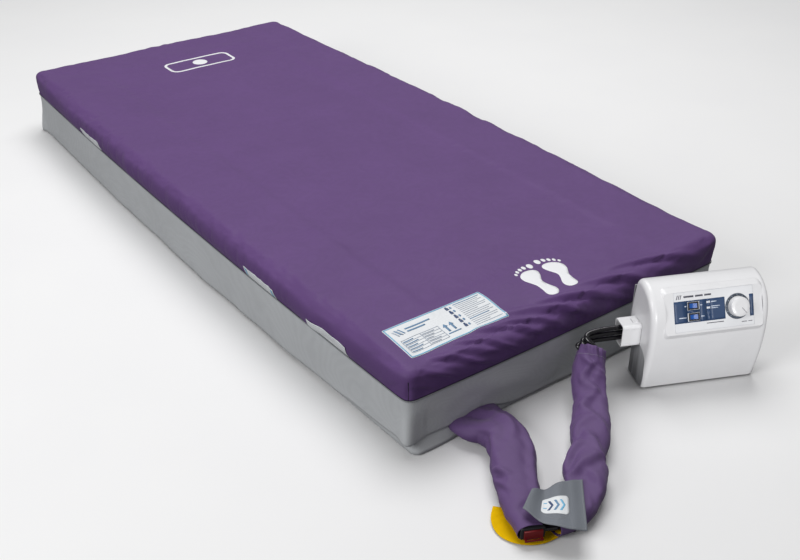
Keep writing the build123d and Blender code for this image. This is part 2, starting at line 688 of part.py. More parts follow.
def rubber_feet():
    """Four feet under the rear tray."""
    feet = []
    for x in (-116, 116):
        for y in (25, 70):
            start = Pos(x, y, 0)
            foot = start * extrude(SlotOverall(33, 12, rotation=90), FOOT_HEIGHT - 0.05)
            feet.append(foot.solid())
    return in_pump(Compound(children=feet))


def case_screws():
    """Screws through the rear tray into the front case's posts."""
    screws = []
    for x in (-SCREW_X, SCREW_X):
        for z in SCREW_Z:
            head = rod((x, 89.7, z), (x, 92.2, z), 4) - block(x - 3, x + 3, 91.2, 93, z - 0.5, z + 0.5)
            screws.append((head + rod((x, 54, z), (x, 89.7, z), 2.0)).solid())
    return in_pump(Compound(children=screws))


# ------------------------------------------------------------------ pump controls

def panel_overlay():
    """Printed plastic overlay on the control panel."""
    face = RectangleRounded(OVERLAY_SIZE[0], OVERLAY_SIZE[1], 4)
    for x, slope in SWITCH_AT.values():
        face -= Pos(x, slope) * Rectangle(22, 14.2)
    face -= Pos(*DIAL_AT) * Circle(5)
    for spot in LED_AT:
        face -= Pos(*spot) * Circle(1.6)
    return in_pump(extrude(panel_plane() * face, OVERLAY_THICKNESS))


def dial_bezel():
    """Dark ring round the pressure dial."""
    plane = panel_plane().offset(OVERLAY_THICKNESS)
    ring = extrude(plane * (Pos(*DIAL_AT) * (Circle(BEZEL_RADIUS) - Circle(5))), 1.2)
    return in_pump(fillet(ring.edges().filter_by(GeomType.CIRCLE).sort_by(SortBy.RADIUS)[-1], 0.5))


def pressure_dial():
    """Domed knob with a raised pointer and the spindle that turns the regulator."""
    base = 2.2
    knob = Pos(0, 0, base) * extrude(Circle(DIAL_RADIUS), DIAL_HEIGHT, taper=4)
    knob = fillet(knob.edges().sort_by(Axis.Z)[-1], 4.5)
    dome = Pos(0, 0, base + DIAL_HEIGHT - 72 + 1.4) * Sphere(72)
    knob = knob & (dome + Pos(0, 0, base + 4) * Cylinder(30, 8))
    pointer = Pos(0, 9, base + DIAL_HEIGHT - 0.2) * Box(2.4, 17, 1.6)
    knob += Rot(0, 0, -POINTER_ANGLE) * fillet(pointer.edges().filter_by(Axis.Z), 1)
    spindle = Pos(0, 0, -11 + base / 2) * Cylinder(3, 22 + base)
    knob = knob + spindle
    return in_pump(panel_plane() * (Pos(*DIAL_AT, 0) * knob))


def pressure_regulator():
    """Regulator body behind the panel; the dial's spindle turns in it."""
    body = Pos(0, 0, -13) * (Cylinder(10, 18) - Cylinder(3.06, 18))
    return in_pump(panel_plane() * (Pos(*DIAL_AT, 0) * body))


def switch_frames():
    """Black snap-in frames of the two rocker switches."""
    frames = []
    for x, slope in SWITCH_AT.values():
        flange = Pos(0, 0, 1.3) * Box(SWITCH_FRAME[0], SWITCH_FRAME[1], 1.5)
        flange = fillet(flange.edges().group_by(Axis.Z)[-1], 0.6)
        body = Pos(0, 0, -6.5) * Box(21.6, 13.8, 15)
        frame = flange + body - Pos(0, 0, -4) * Box(18, 10.5, 16)
        frame -= Pos(0, 0, -1) * Rot(90, 0, 0) * Cylinder(1.06, 12.4)
        frames.append((panel_plane() * (Pos(x, slope, 0) * frame)).solid())
    return in_pump(Compound(children=frames))


def rocker(name):
    """Blue rocker with its trunnions, resting on its pressed side."""
    section = Polyline((-8.4, 2.2), (0, 0.9), (8.4, 2.2), (6, -5), (-6, -5), close=True)
    side = Plane(origin=(0, 4.95, 0), x_dir=(1, 0, 0), z_dir=(0, -1, 0))
    body = extrude(side * make_face(section), 9.9)
    body += Rot(90, 0, 0) * Cylinder(1.0, 12)
    x, slope = SWITCH_AT[name]
    return in_pump(panel_plane() * (Pos(x, slope, -1) * Rot(0, -ROCKER_TILT, 0) * body))


def indicator_lights():
    """Two small round lamps."""
    lamps = []
    for x, slope in LED_AT:
        lamp = Pos(0, 0, -3) * Cylinder(1.5, 8) + Pos(0, 0, 1) * Sphere(1.5)
        lamps.append((panel_plane() * (Pos(x, slope, 0) * lamp)).solid())
    return in_pump(Compound(children=lamps))


def circuit_board():
    """Control board behind the panel with its main parts."""
    board = Pos(0, 0, -27) * Box(150, 60, 1.6)
    for x, y, width, depth, height in ((-50, -12, 26, 20, 8), (-8, -14, 18, 18, 2), (30, 12, 14, 10, 5)):
        board += Pos(x, y, -26.2 + height / 2) * Box(width, depth, height)
    return in_pump(panel_plane() * board)


# ------------------------------------------------------------------ pump works

def compressor_body():
    """Base and two diaphragm chambers of the linear air compressor, with the swing arm's pin."""
    x = COMPRESSOR_X
    body = block(x - 50, x + 50, 20, 75, 12, 16)
    for side in (-1, 1):
        centre = x + side * 40
        body += block(centre - 10, centre + 10, 24, 71, 16, 78)
        port_x = centre
        body += rod((port_x, 47.5, 78), (port_x, 47.5, 88), 3)
        ear_y = 47.5 + side * 8.6
        body += block(x - 4, x + 4, ear_y - 0.7, ear_y + 0.7, 16, ARM_PIVOT_Z + 4)
    body += rod((x, 38.2, ARM_PIVOT_Z), (x, 56.8, ARM_PIVOT_Z), 2)
    return in_pump(body)


def compressor_coils():
    """Laminated electromagnets in front of and behind the swing arm."""
    coils = []
    for y in (28.5, 66.5):
        core = Pos(COMPRESSOR_X, y, 44) * Box(34, 13, 46)
        coils.append(fillet(core.edges().filter_by(Axis.Z), 2).solid())
    return in_pump(Compound(children=coils))


def swing_arm():
    """Magnet arm that swings between the coils and pushes the two diaphragms in turn."""
    x = COMPRESSOR_X
    arm = rod((x, 40.5, ARM_PIVOT_Z), (x, 54.5, ARM_PIVOT_Z), 3.6)
    arm += block(x - 2, x + 2, 40.5, 54.5, ARM_PIVOT_Z, 72)
    arm += rod((x - 23.5, 47.5, 50), (x + 23.5, 47.5, 50), 3)
    arm -= rod((x, 40, ARM_PIVOT_Z), (x, 55, ARM_PIVOT_Z), 2.06)
    return in_pump(arm)


def diaphragms():
    """Rubber diaphragms on the inner faces of the chambers."""
    pair = []
    for side in (-1, 1):
        face = COMPRESSOR_X + side * 29.9
        inner = COMPRESSOR_X + side * 26.5
        pair.append(rod((face, 47.5, 50), (inner, 47.5, 50), 19).solid())
    return in_pump(Compound(children=pair))


def valve_block():
    """Round housing of the rotary air distributor, with three outlet stubs on top."""
    x, y = VALVE_AT
    body = rod((x, y, 36.2), (x, y, 60), 24) - rod((x, y, 42), (x, y, 55), 19.5)
    body -= rod((x, y, 30), (x, y, 43), 3.1)
    for order in range(3):
        port_x = x + (order - 1) * 13
        body += rod((port_x, y, 59), (port_x, y, 66), 2.4)
    return in_pump(body)


def valve_rotor():
    """Slotted disc that connects the compressor to one set of cells at a time, on its shaft."""
    x, y = VALVE_AT
    rotor = rod((x, y, 43), (x, y, 54), 18.8) + rod((x, y, 24), (x, y, 43), 3)
    rotor -= block(x + 5, x + 14, y - 2, y + 2, 40, 60)
    return in_pump(rotor)


def valve_motor():
    """Synchronous gear motor that turns the distributor."""
    x, y = VALVE_AT
    body = rod((x, y, 12), (x, y, 36), 25)
    return in_pump(body - rod((x, y, 23), (x, y, 37), 3.06))


def outlet_socket():
    """Plate inside the left wall with the three nozzles that the connector slides onto."""
    wall = -PUMP_WIDTH / 2 + CASE_WALL + 0.2
    socket = block(wall, wall + 3, OUTLET_Y - 17, OUTLET_Y + 17, 99, 143)
    for level in OUTLET_LEVELS:
        start = (-PUMP_WIDTH / 2 - 14, OUTLET_Y, level)
        end = (wall + 12, OUTLET_Y, level)
        socket += rod(start, end, NOZZLE_RADIUS)
    for level in OUTLET_LEVELS:
        socket -= rod((-PUMP_WIDTH / 2 - 15, OUTLET_Y, level), (wall + 13, OUTLET_Y, level), 2.2)
    return in_pump(socket)


def internal_tubes():
    """Soft tubes from the distributor to the outlet nozzles."""
    tubes = []
    x, y = VALVE_AT
    inner_end = -PUMP_WIDTH / 2 + CASE_WALL + 12.6
    for order in range(3):
        level = OUTLET_LEVELS[order]
        port_x = x + (order - 1) * 13
        points = [
            (inner_end, OUTLET_Y, level),
            (inner_end + 20, OUTLET_Y, level),
            (port_x - 34, y + 4, level),
            (port_x, y, level - 32),
            (port_x, y, 66.3),
        ]
        tubes.append(bent_tube(points, 3.6, 2.5).solid())
    return in_pump(Compound(children=tubes))


def mains_inlet():
    """Three-pin mains inlet in the right wall, with a slot for the fuse drawer below it."""
    right = PUMP_WIDTH / 2 - 1.5
    flange = block(right, right + 1.5, 28, 62, 26, 76)
    body = block(right - 26, right, 31, 59, 28, 74)
    inlet = flange + body
    inlet -= block(right - 16, right + 3, 33.5, 56.5, 46, 70)
    inlet -= block(right - 22, right + 3, 34.8, 55.2, 30.8, 41.2)
    for y in (38, 45, 52):
        z = 61 if y == 45 else 55
        inlet += block(right - 17, right - 3, y - 1, y + 1, z - 2, z + 2)
    return in_pump(inlet)


def fuse_drawer():
    """Small drawer that holds the mains fuse."""
    right = PUMP_WIDTH / 2 - 1.5
    drawer = block(right - 21.5, right + 2, 35, 55, 31, 41)
    drawer -= block(right - 20, right - 1, 37, 53, 33, 45)
    return in_pump(drawer)


# ------------------------------------------------------------------ all pieces

PIECES = {
    "top_cover": top_cover,
    "skirt_flap": skirt_flap,
    "seam_binding": lambda: bowed_ring(1.3, 0.2, SEAM_Z - 3, SEAM_Z + 1),
    "side_tags": side_tags,
    "care_label": care_label,
    "printed_motifs": printed_motifs,
    "zip_tape_upper": lambda: zip_tape(1),
    "zip_tape_lower": lambda: zip_tape(-1),
    "zip_slider": zip_slider,
    "zip_pull": zip_pull,
    "base_cover": base_cover,
    "base_pad": base_pad,
    "cell_sheet": cell_sheet,
    "alternating_cells_a": lambda: cell_group("a"),
    "alternating_cells_b": lambda: cell_group("b"),
    "static_head_cells": lambda: cell_group("static"),
    "cell_connectors": cell_connectors,
    "cell_press_studs": cell_press_studs,
    "feed_line_a": lambda: feed_line(0),
    "feed_line_b": lambda: feed_line(1),
    "feed_line_static": lambda: feed_line(2),
    "pump_hose_a": lambda: pump_hose(0),
    "pump_hose_b": lambda: pump_hose(1),
    "pump_hose_static": lambda: pump_hose(2),
    "hose_sleeve_mattress": hose_sleeve_mattress,
    "hose_sleeve_pump": hose_sleeve_pump,
    "cpr_coupling": cpr_coupling,
    "cpr_plug": cpr_plug,
    "cpr_strap": cpr_strap,
    "cpr_tag": cpr_tag,
    "pump_connector": pump_connector,
    "release_latch": release_latch,
    "front_case": front_case,
    "rear_case": rear_case,
    "back_panel": back_panel,
    "left_hanger_hook": lambda: hanger_hook(HOOK_X[0]),
    "right_hanger_hook": lambda: hanger_hook(HOOK_X[1]),
    "hook_pivot_pins": hook_pivot_pins,
    "rubber_feet": rubber_feet,
    "case_screws": case_screws,
    "panel_overlay": panel_overlay,
    "dial_bezel": dial_bezel,
    "pressure_dial": pressure_dial,
    "pressure_regulator": pressure_regulator,
    "switch_frames": switch_frames,
    "power_rocker": lambda: rocker("power"),
    "mode_rocker": lambda: rocker("mode"),
    "indicator_lights": indicator_lights,
    "circuit_board": circuit_board,
    "compressor_body": compressor_body,
    "compressor_coils": compressor_coils,
    "swing_arm": swing_arm,
    "diaphragms": diaphragms,
    "valve_block": valve_block,
    "valve_rotor": valve_rotor,
    "valve_motor": valve_motor,
    "outlet_socket": outlet_socket,
    "internal_tubes": internal_tubes,
    "mains_inlet": mains_inlet,
    "fuse_drawer": fuse_drawer,
}

os.makedirs("parts", exist_ok=True)
for piece_name, build_piece in PIECES.items():
    save(piece_name, build_piece())
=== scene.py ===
import json
import math

import bmesh
import bpy
import numpy as np
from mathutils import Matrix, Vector
from mathutils.bvhtree import BVHTree
from mathutils.geometry import delaunay_2d_cdt

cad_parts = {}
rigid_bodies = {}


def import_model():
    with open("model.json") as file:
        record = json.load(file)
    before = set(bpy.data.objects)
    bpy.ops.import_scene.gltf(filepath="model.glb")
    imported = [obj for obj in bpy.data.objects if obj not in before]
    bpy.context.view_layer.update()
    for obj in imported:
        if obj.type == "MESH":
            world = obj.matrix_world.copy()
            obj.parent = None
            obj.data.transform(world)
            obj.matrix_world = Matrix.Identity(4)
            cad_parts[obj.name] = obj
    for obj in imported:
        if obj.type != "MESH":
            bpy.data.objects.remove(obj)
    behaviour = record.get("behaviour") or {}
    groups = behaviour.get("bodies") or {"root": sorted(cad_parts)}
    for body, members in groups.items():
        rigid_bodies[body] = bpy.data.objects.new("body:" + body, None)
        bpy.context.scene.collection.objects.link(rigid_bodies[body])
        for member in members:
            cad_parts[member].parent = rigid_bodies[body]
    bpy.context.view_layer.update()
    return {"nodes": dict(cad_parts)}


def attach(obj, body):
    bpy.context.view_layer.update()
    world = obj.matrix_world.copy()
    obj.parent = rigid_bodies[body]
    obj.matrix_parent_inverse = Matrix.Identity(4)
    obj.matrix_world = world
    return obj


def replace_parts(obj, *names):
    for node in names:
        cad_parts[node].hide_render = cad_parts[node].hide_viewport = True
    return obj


# Looks of an alternating pressure relief mattress with its pump. Lengths in the code are
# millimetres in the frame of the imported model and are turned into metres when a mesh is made.

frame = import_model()

MM = 0.001
WELD_GAP = 0.02
FLOOR_REACH = 30000.0

# ---- the mattress outline, as packed
CORE_X = 405.0
CORE_Y = 955.0
CORNER = 45.0
HALF_X = CORE_X + CORNER
HALF_Y = CORE_Y + CORNER
BASE_SETBACK = 16.0  # from the seam in to the wall of the base cover
EDGE_RADIUS = 14.0
SIDE_BOW = 16.0
END_BOW = 7.0
SEAM_Z = 130.0
TOP_Z = 199.6
WALL_Z = TOP_Z - EDGE_RADIUS
NECK_INSET = 14.5
ZIP_Z = 108.0

# ---- the air cells, as packed
CELL_COUNT = 18
FIRST_STATIC_CELL = 15
FIRST_CELL_Y = -887.3
CELL_PITCH = 106.0
CELL_SIZE = (831.0, 102.0, 179.0)

# ---- the pump's own frame and its panel plane
PUMP_AT = (197.0, -1182.0, 0.0)
PUMP_YAW = math.radians(-25.0)
PANEL_CENTRE = (7.0, -1.25, 190.5)
PANEL_UP = (0.0, 0.4472, 0.8944)
PANEL_OUT = (0.0, -0.8944, 0.4472)
DIAL_AT = (52.0, 0.3)
POINTER_TOP = 17.95  # height of the dial's face above the panel

# ---- the coupling at the sleeve's mouth
COUPLING_AT = (-402.0, -1300.0)
COUPLING_YAW = math.radians(-26.0)


# ------------------------------------------------------------------ colours and materials

def linear(red, green, blue):
    """Linear colour from 0 to 255 display values."""
    result = []
    for value in (red, green, blue):
        value = value / 255
        result.append(value / 12.92 if value <= 0.04045 else ((value + 0.055) / 1.055) ** 2.4)
    return (*result, 1.0)


def scaled(colour, factor):
    """The same colour, lighter or darker."""
    return (*[min(1.0, channel * factor) for channel in colour[:3]], 1.0)


class Nodes:
    """Short calls for building one node tree."""

    def __init__(self, name):
        self.material = bpy.data.materials.new(name)
        self.material.use_nodes = True
        self.tree = self.material.node_tree
        self.shader = self.tree.nodes["Principled BSDF"]
        self.place = self.add("ShaderNodeTexCoord").outputs["Object"]

    def add(self, kind, **settings):
        node = self.tree.nodes.new(kind)
        for key, value in settings.items():
            setattr(node, key, value)
        return node

    def link(self, output, target):
        self.tree.links.new(output, target)

    def noise(self, scale, detail=2.0, rough=0.5):
        node = self.add("ShaderNodeTexNoise")
        node.inputs["Scale"].default_value = scale
        node.inputs["Detail"].default_value = detail
        node.inputs["Roughness"].default_value = rough
        self.link(self.place, node.inputs["Vector"])
        return node.outputs["Fac"]

    def wave(self, direction, scale):
        node = self.add("ShaderNodeTexWave", wave_type="BANDS", bands_direction=direction)
        node.inputs["Scale"].default_value = scale
        node.inputs["Distortion"].default_value = 0.6
        node.inputs["Detail"].default_value = 0.0
        self.link(self.place, node.inputs["Vector"])
        return node.outputs["Fac"]

    def math(self, operation, first, second):
        node = self.add("ShaderNodeMath", operation=operation)
        for socket, value in zip(node.inputs, (first, second)):
            if isinstance(value, (int, float)):
                socket.default_value = value
            else:
                self.link(value, socket)
        return node.outputs[0]

    def ramp(self, factor, low, high, start=0.0, end=1.0):
        node = self.add("ShaderNodeMapRange")
        self.link(factor, node.inputs["Value"])
        for key, value in (("From Min", start), ("From Max", end), ("To Min", low), ("To Max", high)):
            node.inputs[key].default_value = value
        return node.outputs["Result"]

    def mix(self, factor, first, second):
        node = self.add("ShaderNodeMix", data_type="RGBA")
        for socket, value in ((node.inputs[0], factor), (node.inputs[6], first), (node.inputs[7], second)):
            if isinstance(value, (int, float, tuple)):
                socket.default_value = value
            else:
                self.link(value, socket)
        return node.outputs[2]

    def finish(self, colour, roughness, height, distance, **inputs):
        """Connects the colour, the roughness and a bump height, and sets other inputs."""
        bump = self.add("ShaderNodeBump")
        bump.inputs["Strength"].default_value = 1.0
        bump.inputs["Distance"].default_value = distance * MM
        self.link(height, bump.inputs["Height"])
        self.link(bump.outputs["Normal"], self.shader.inputs["Normal"])
        self.link(colour, self.shader.inputs["Base Color"])
        self.link(roughness, self.shader.inputs["Roughness"])
        for key, value in inputs.items():
            self.shader.inputs[key.replace("_", " ")].default_value = value
        return self.material


def woven(name, colour, thread=0.6, rough=0.6, depth=0.08, mottle=0.05, speck=0.06, **inputs):
    """Fabric: a fine woven grid, soft patches of tone, specks in the yarn."""
    n = Nodes(name)
    rate = 0.314 / (thread * MM)
    threads = n.math("ADD", n.wave("X", rate), n.math("ADD", n.wave("Y", rate), n.wave("Z", rate)))
    yarn = n.noise(900, 3.0, 0.7)
    patches = n.noise(7, 3.0)
    tone = n.mix(n.ramp(patches, 0, 1, 0.3, 0.7), scaled(colour, 1 - mottle), scaled(colour, 1 + mottle))
    tone = n.mix(n.ramp(yarn, 0, 1, 0.35, 0.65), tone, n.mix(0.5, tone, scaled(colour, 1 + 3 * speck)))
    weave_tone = n.mix(n.ramp(threads, 0.18, 0, 0.6, 2.4), tone, scaled(colour, 0.55))
    height = n.math("ADD", threads, n.math("MULTIPLY", yarn, 0.8))
    return n.finish(weave_tone, n.ramp(yarn, rough - 0.08, rough + 0.08, 0.3, 0.7), height, depth, **inputs)


def moulded(name, colour, rough=0.4, grain=0.02, wear=1.25, mottle=0.03, **inputs):
    """Moulded plastic, metal or rubber: fine grain, faint tone changes, lighter rubbed edges."""
    n = Nodes(name)
    grains = n.noise(1400, 2.0, 0.6)
    patches = n.noise(18, 4.0, 0.6)
    tone = n.mix(n.ramp(patches, 0, 1, 0.3, 0.7), scaled(colour, 1 - mottle), scaled(colour, 1 + mottle))
    edge = n.ramp(n.add("ShaderNodeNewGeometry").outputs["Pointiness"], 0, 0.6, 0.53, 0.62)
    tone = n.mix(n.math("MULTIPLY", edge, n.ramp(patches, 0.3, 1, 0.4, 0.6)), tone, scaled(colour, wear))
    roughness = n.ramp(n.math("ADD", grains, patches), rough - 0.07, rough + 0.07, 0.7, 1.3)
    return n.finish(tone, roughness, grains, grain, **inputs)


def painted_reflection_metal(name, colour, rough=0.32):
    """Grey metallic finish with soft upright light and dark streaks painted into its colour as reflections.
    """
    n = Nodes(name)
    stretch = n.add("ShaderNodeMapping")
    stretch.inputs["Scale"].default_value = (90, 90, 4)
    n.link(n.place, stretch.inputs["Vector"])
    streak = n.add("ShaderNodeTexNoise")
    streak.inputs["Scale"].default_value = 1.0
    streak.inputs["Detail"].default_value = 3.0
    n.link(stretch.outputs["Vector"], streak.inputs["Vector"])
    streaks = streak.outputs["Fac"]
    # painted reflections: upright light and dark bands in the base colour stand in for reflections on the
    # grey metal
    tone = n.mix(n.ramp(streaks, 0, 1, 0.35, 0.65), scaled(colour, 0.8), scaled(colour, 1.3))
    return n.finish(tone, n.ramp(streaks, rough - 0.1, rough + 0.1), n.noise(1200), 0.01, Metallic=0.2)


# name, display colour, (thread pitch, roughness, bump depth, mottle, speck), other inputs
FABRICS = (
    ("purple_fabric", (100, 70, 125), (0.5, 0.55, 0.03, 0.05, 0.05),
     {"Sheen_Weight": 0.06, "Sheen_Roughness": 0.4, "Specular_IOR_Level": 0.3}),
    ("sleeve_fabric", (100, 72, 124), (0.55, 0.6, 0.05, 0.06, 0.06),
     {"Sheen_Weight": 0.1, "Sheen_Roughness": 0.5}),
    ("grey_fabric", (202, 205, 208), (0.8, 0.62, 0.07, 0.04, 0.07), {"Sheen_Weight": 0.1}),
    ("tag_fabric", (120, 125, 133), (0.8, 0.62, 0.07, 0.04, 0.07), {}),
    ("binding", (150, 153, 156), (1.0, 0.7, 0.12, 0.05, 0.08), {}),
    ("zip_nylon", (70, 72, 78), (0.7, 0.5, 0.15, 0.05, 0.08), {}),
    ("grey_felt", (150, 150, 146), (1.6, 0.95, 0.3, 0.12, 0.2), {}),
    ("sheet_fabric", (200, 202, 206), (0.7, 0.7, 0.1, 0.04, 0.06), {}),
    ("cell_nylon", (196, 205, 216), (0.6, 0.42, 0.05, 0.05, 0.04), {"Coat_Weight": 0.25}),
    ("thread", (176, 178, 182), (0.3, 0.6, 0.05), {}),
    ("purple_thread", (150, 128, 172), (0.3, 0.6, 0.05), {}),
    # painted shade: the purple darkened, for the shadow line above the seam tape and the strips in the corner
    # seams
    ("seam_shade", (38, 26, 52), (0.4, 0.8, 0.05), {}),
    ("white_label", (240, 243, 246), (0.4, 0.45, 0.02, 0.02, 0.02), {}),
)
# name, display colour, (roughness, grain, edge wear, mottle), other inputs
MOULDINGS = (
    ("white_print", (246, 247, 250), (0.5, 0.03, 1.0, 0.02), {}),
    ("label_blue", (120, 190, 226), (0.5, 0.02, 1.0), {}),
    ("label_steel", (110, 148, 184), (0.5, 0.02, 1.0), {}),
    ("label_grey", (176, 186, 200), (0.5, 0.02, 1.0), {}),
    ("label_navy", (62, 82, 122), (0.5, 0.02, 1.0), {}),
    ("panel_navy", (44, 68, 104), (0.38, 0.02, 1.1, 0.05), {}),
    ("panel_ink", (88, 88, 98), (0.4, 0.02, 1.0), {}),
    ("panel_line", (196, 198, 202), (0.4, 0.02, 1.0), {}),
    ("panel_mark", (206, 216, 232), (0.4, 0.02, 1.0), {}),
    ("white_plastic", (226, 226, 228), (0.34, 0.015, 1.02, 0.015), {"Coat_Weight": 0.15}),
    ("overlay_film", (228, 229, 232), (0.3, 0.02, 1.0, 0.01), {}),
    ("black_plastic", (34, 34, 38), (0.38, 0.03, 2.2), {}),
    ("bezel_grey", (70, 78, 90), (0.35, 0.02, 1.6), {}),
    ("black_hose", (26, 24, 30), (0.2, 0.01, 1.6, 0.1), {"Coat_Weight": 0.5}),
    ("black_rubber", (40, 40, 42), (0.7, 0.05, 1.5), {}),
    ("pale_rubber", (225, 225, 225), (0.6, 0.05, 1.1), {}),
    ("red_plastic", (122, 26, 30), (0.4, 0.03, 1.4, 0.08), {}),
    ("blue_plastic", (16, 84, 170), (0.3, 0.02, 1.5, 0.05), {}),
    ("clear_plastic", (215, 220, 225), (0.25, 0.01, 1.1), {}),
    ("clear_hose", (214, 219, 214), (0.25, 0.01, 1.1), {}),
    ("board_green", (30, 96, 62), (0.45, 0.03, 1.4, 0.1), {}),
    ("iron_core", (96, 92, 90), (0.5, 0.05, 1.4, 0.1), {"Metallic": 0.6}),
    ("cast_aluminium", (176, 178, 182), (0.45, 0.06, 1.2, 0.06), {"Metallic": 0.9}),
    ("steel", (188, 190, 194), (0.3, 0.02, 1.2, 0.05), {"Metallic": 1.0}),
)
MATERIALS = {name: woven(name, linear(*tone), *values, **inputs) for name, tone, values, inputs in FABRICS}
for name, tone, values, inputs in MOULDINGS:
    MATERIALS[name] = moulded(name, linear(*tone), *values, **inputs)
MATERIALS["yellow_webbing"] = woven("yellow_webbing", (1.0, 0.6, 0.0, 1.0), 1.7, 0.8, 0.2, 0.02, 0.0,
                                    Specular_IOR_Level=0.1)
# rear case and back panel, with painted reflection streaks
MATERIALS["rear_grey"] = painted_reflection_metal("rear_grey", linear(172, 173, 176))


# ------------------------------------------------------------------ mesh helpers

def mesh_object(name, points, faces, materials):
    """Object in the scene from millimetre points, faces and the names of its materials."""
    mesh = bpy.data.meshes.new(name)
    mesh.from_pydata([tuple(float(c) * MM for c in point) for point in points], [],
                     [tuple(map(int, face)) for face in faces])
    for material in materials:
        mesh.materials.append(MATERIALS[material])
    piece = bpy.data.objects.new(name, mesh)
    bpy.context.scene.collection.objects.link(piece)
    return piece


def new_piece(name, points, faces, material, body, thickness=0.0):
    """A mesh piece from millimetre points, welded, given a thickness inwards, riding on a body."""
    piece = mesh_object(name, points, faces, [material])
    mesh = piece.data
    edit = bmesh.new()
    edit.from_mesh(mesh)
    bmesh.ops.remove_doubles(edit, verts=edit.verts, dist=WELD_GAP * MM)
    bmesh.ops.recalc_face_normals(edit, faces=edit.faces)
    edit.to_mesh(mesh)
    edit.free()
    mesh.polygons.foreach_set("use_smooth", [True] * len(mesh.polygons))
    if thickness:
        thicken(piece, thickness)
    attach(piece, body)
    return piece


def thicken(piece, thickness):
    """Turns a sheet into a wall that grows inwards from it."""
    wall = piece.modifiers.new("wall", "SOLIDIFY")
    wall.thickness = thickness * MM
    wall.offset = -1
    apply_modifiers(piece)


def apply_modifiers(piece):
    """Replaces the mesh by its evaluated copy."""
    graph = bpy.context.evaluated_depsgraph_get()
    result = bpy.data.meshes.new_from_object(piece.evaluated_get(graph))
    piece.modifiers.clear()
    old = piece.data
    piece.data = result
    bpy.data.meshes.remove(old)


def vertex_values(mesh, attribute):
    """One row of three numbers for each vertex."""
    flat = np.zeros(len(mesh.vertices) * 3)
    mesh.vertices.foreach_get(attribute, flat)
    return flat.reshape(-1, 3)


def vertex_points(piece):
    """The piece's vertices in millimetres."""
    return vertex_values(piece.data, "co") / MM


def set_points(piece, points):
    """Moves the piece's vertices to points in millimetres."""
    piece.data.vertices.foreach_set("co", (points * MM).astype(np.float32).ravel())
    piece.data.update()


def level(plan, z):
    """Plan points raised to one height, or to a height each."""
    return np.column_stack([plan, np.broadcast_to(z, len(plan))])


def unit_rows(vectors):
    """The same vectors, each of length one."""
    return vectors / np.linalg.norm(vectors, axis=1, keepdims=True)


def running_length(points):
    """Distance from the first point to each point along their line."""
    return np.concatenate([[0], np.cumsum(np.linalg.norm(np.diff(points, axis=0), axis=1))])


def grid_faces(rows, columns, close_rows=False, close_columns=False):
    """Quads over a row-by-column array of points."""
    faces = []
    for r in range(rows if close_rows else rows - 1):
        for c in range(columns if close_columns else columns - 1):
            r2 = (r + 1) % rows
            c2 = (c + 1) % columns
            faces.append((r * columns + c, r * columns + c2, r2 * columns + c2, r2 * columns + c))
    return faces


def smooth_step(value, low, high):
    """Soft rise from 0 at low to 1 at high."""
    t = np.clip((value - low) / (high - low), 0, 1)
    return t * t * (3 - 2 * t)


def ripple(points, wavelength, seed, count=7):
    """Smooth seeded waves in space, roughly -1 to 1."""
    source = np.random.default_rng(seed)
    total = np.zeros(len(points))
    for _ in range(count):
        direction = source.normal(size=points.shape[1])
        direction /= np.linalg.norm(direction)
        rate = 2 * math.pi / (wavelength * source.uniform(0.7, 1.5))
        total += np.sin(points @ direction * rate + source.uniform(0, 2 * math.pi))
    return total / math.sqrt(count * 2)


def crease(px, py, start, end, width, height, bend=0.0):
    """Height of one soft fold from start to end: a ridge with a hollow below it, fading at its ends."""
    dx = end[0] - start[0]
    dy = end[1] - start[1]
    length = math.hypot(dx, dy)
    along = ((px - start[0]) * dx + (py - start[1]) * dy) / length ** 2
    inside = np.clip(4 * along * (1 - along), 0, 1)
    away = ((py - start[1]) * dx - (px - start[0]) * dy) / length - bend * inside
    ridge = np.exp(-((away / width) ** 2))
    hollow = np.exp(-(((away + 1.7 * width) / (1.3 * width)) ** 2))
    return height * inside ** 0.7 * (ridge - 0.75 * hollow)


# ------------------------------------------------------------------ mattress outline

def around(step, corner_steps):
    """Core points and outward directions once round the plan, anticlockwise from the foot's left."""
    along_x = np.linspace(-CORE_X, CORE_X, int(2 * CORE_X / step) + 1)
    along_y = np.linspace(-CORE_Y, CORE_Y, int(2 * CORE_Y / step) + 1)
    sides = [
        [(x, -CORE_Y) for x in along_x],
        [(CORE_X, y) for y in along_y],
        [(x, CORE_Y) for x in along_x[::-1]],
        [(-CORE_X, y) for y in along_y[::-1]],
    ]
    core, out = [], []
    for index, side in enumerate(sides):
        heading = math.radians(90 * index - 90)
        for point in side:
            core.append(point)
            out.append((math.cos(heading), math.sin(heading)))
        for step_index in range(1, 2 * corner_steps):
            turn = heading + math.radians(90 * step_index / (2 * corner_steps))
            core.append(side[-1])
            out.append((math.cos(turn), math.sin(turn)))
    return np.array(core), np.array(out)


def squared(plan):
    """Plan points with the round corners pushed out towards a boxed, sewn corner."""
    power = 5
    past_x = np.maximum(np.abs(plan[:, 0]) - CORE_X, 0)
    past_y = np.maximum(np.abs(plan[:, 1]) - CORE_Y, 0)
    reach = np.maximum(np.hypot(past_x, past_y), 1e-6)
    stretch = ((past_x / reach) ** power + (past_y / reach) ** power + 1e-9) ** (-1 / power)
    stretch = np.where((past_x > 0) & (past_y > 0), stretch, 1)
    x = np.sign(plan[:, 0]) * (np.minimum(np.abs(plan[:, 0]), CORE_X) + past_x * stretch)
    y = np.sign(plan[:, 1]) * (np.minimum(np.abs(plan[:, 1]), CORE_Y) + past_y * stretch)
    return x, y


def bowed(plan, share=1.0):
    """Plan points with squared corners and the gentle outward bow of the sides and ends."""
    x, y = squared(plan)
    side = SIDE_BOW * np.clip(1 - (y / HALF_Y) ** 2, 0, 1) * np.clip(x / HALF_X, -1.1, 1.1)
    end = END_BOW * np.clip(1 - (x / HALF_X) ** 2, 0, 1) * np.clip(y / HALF_Y, -1.1, 1.1)
    return np.column_stack([x + share * side, y + share * end])


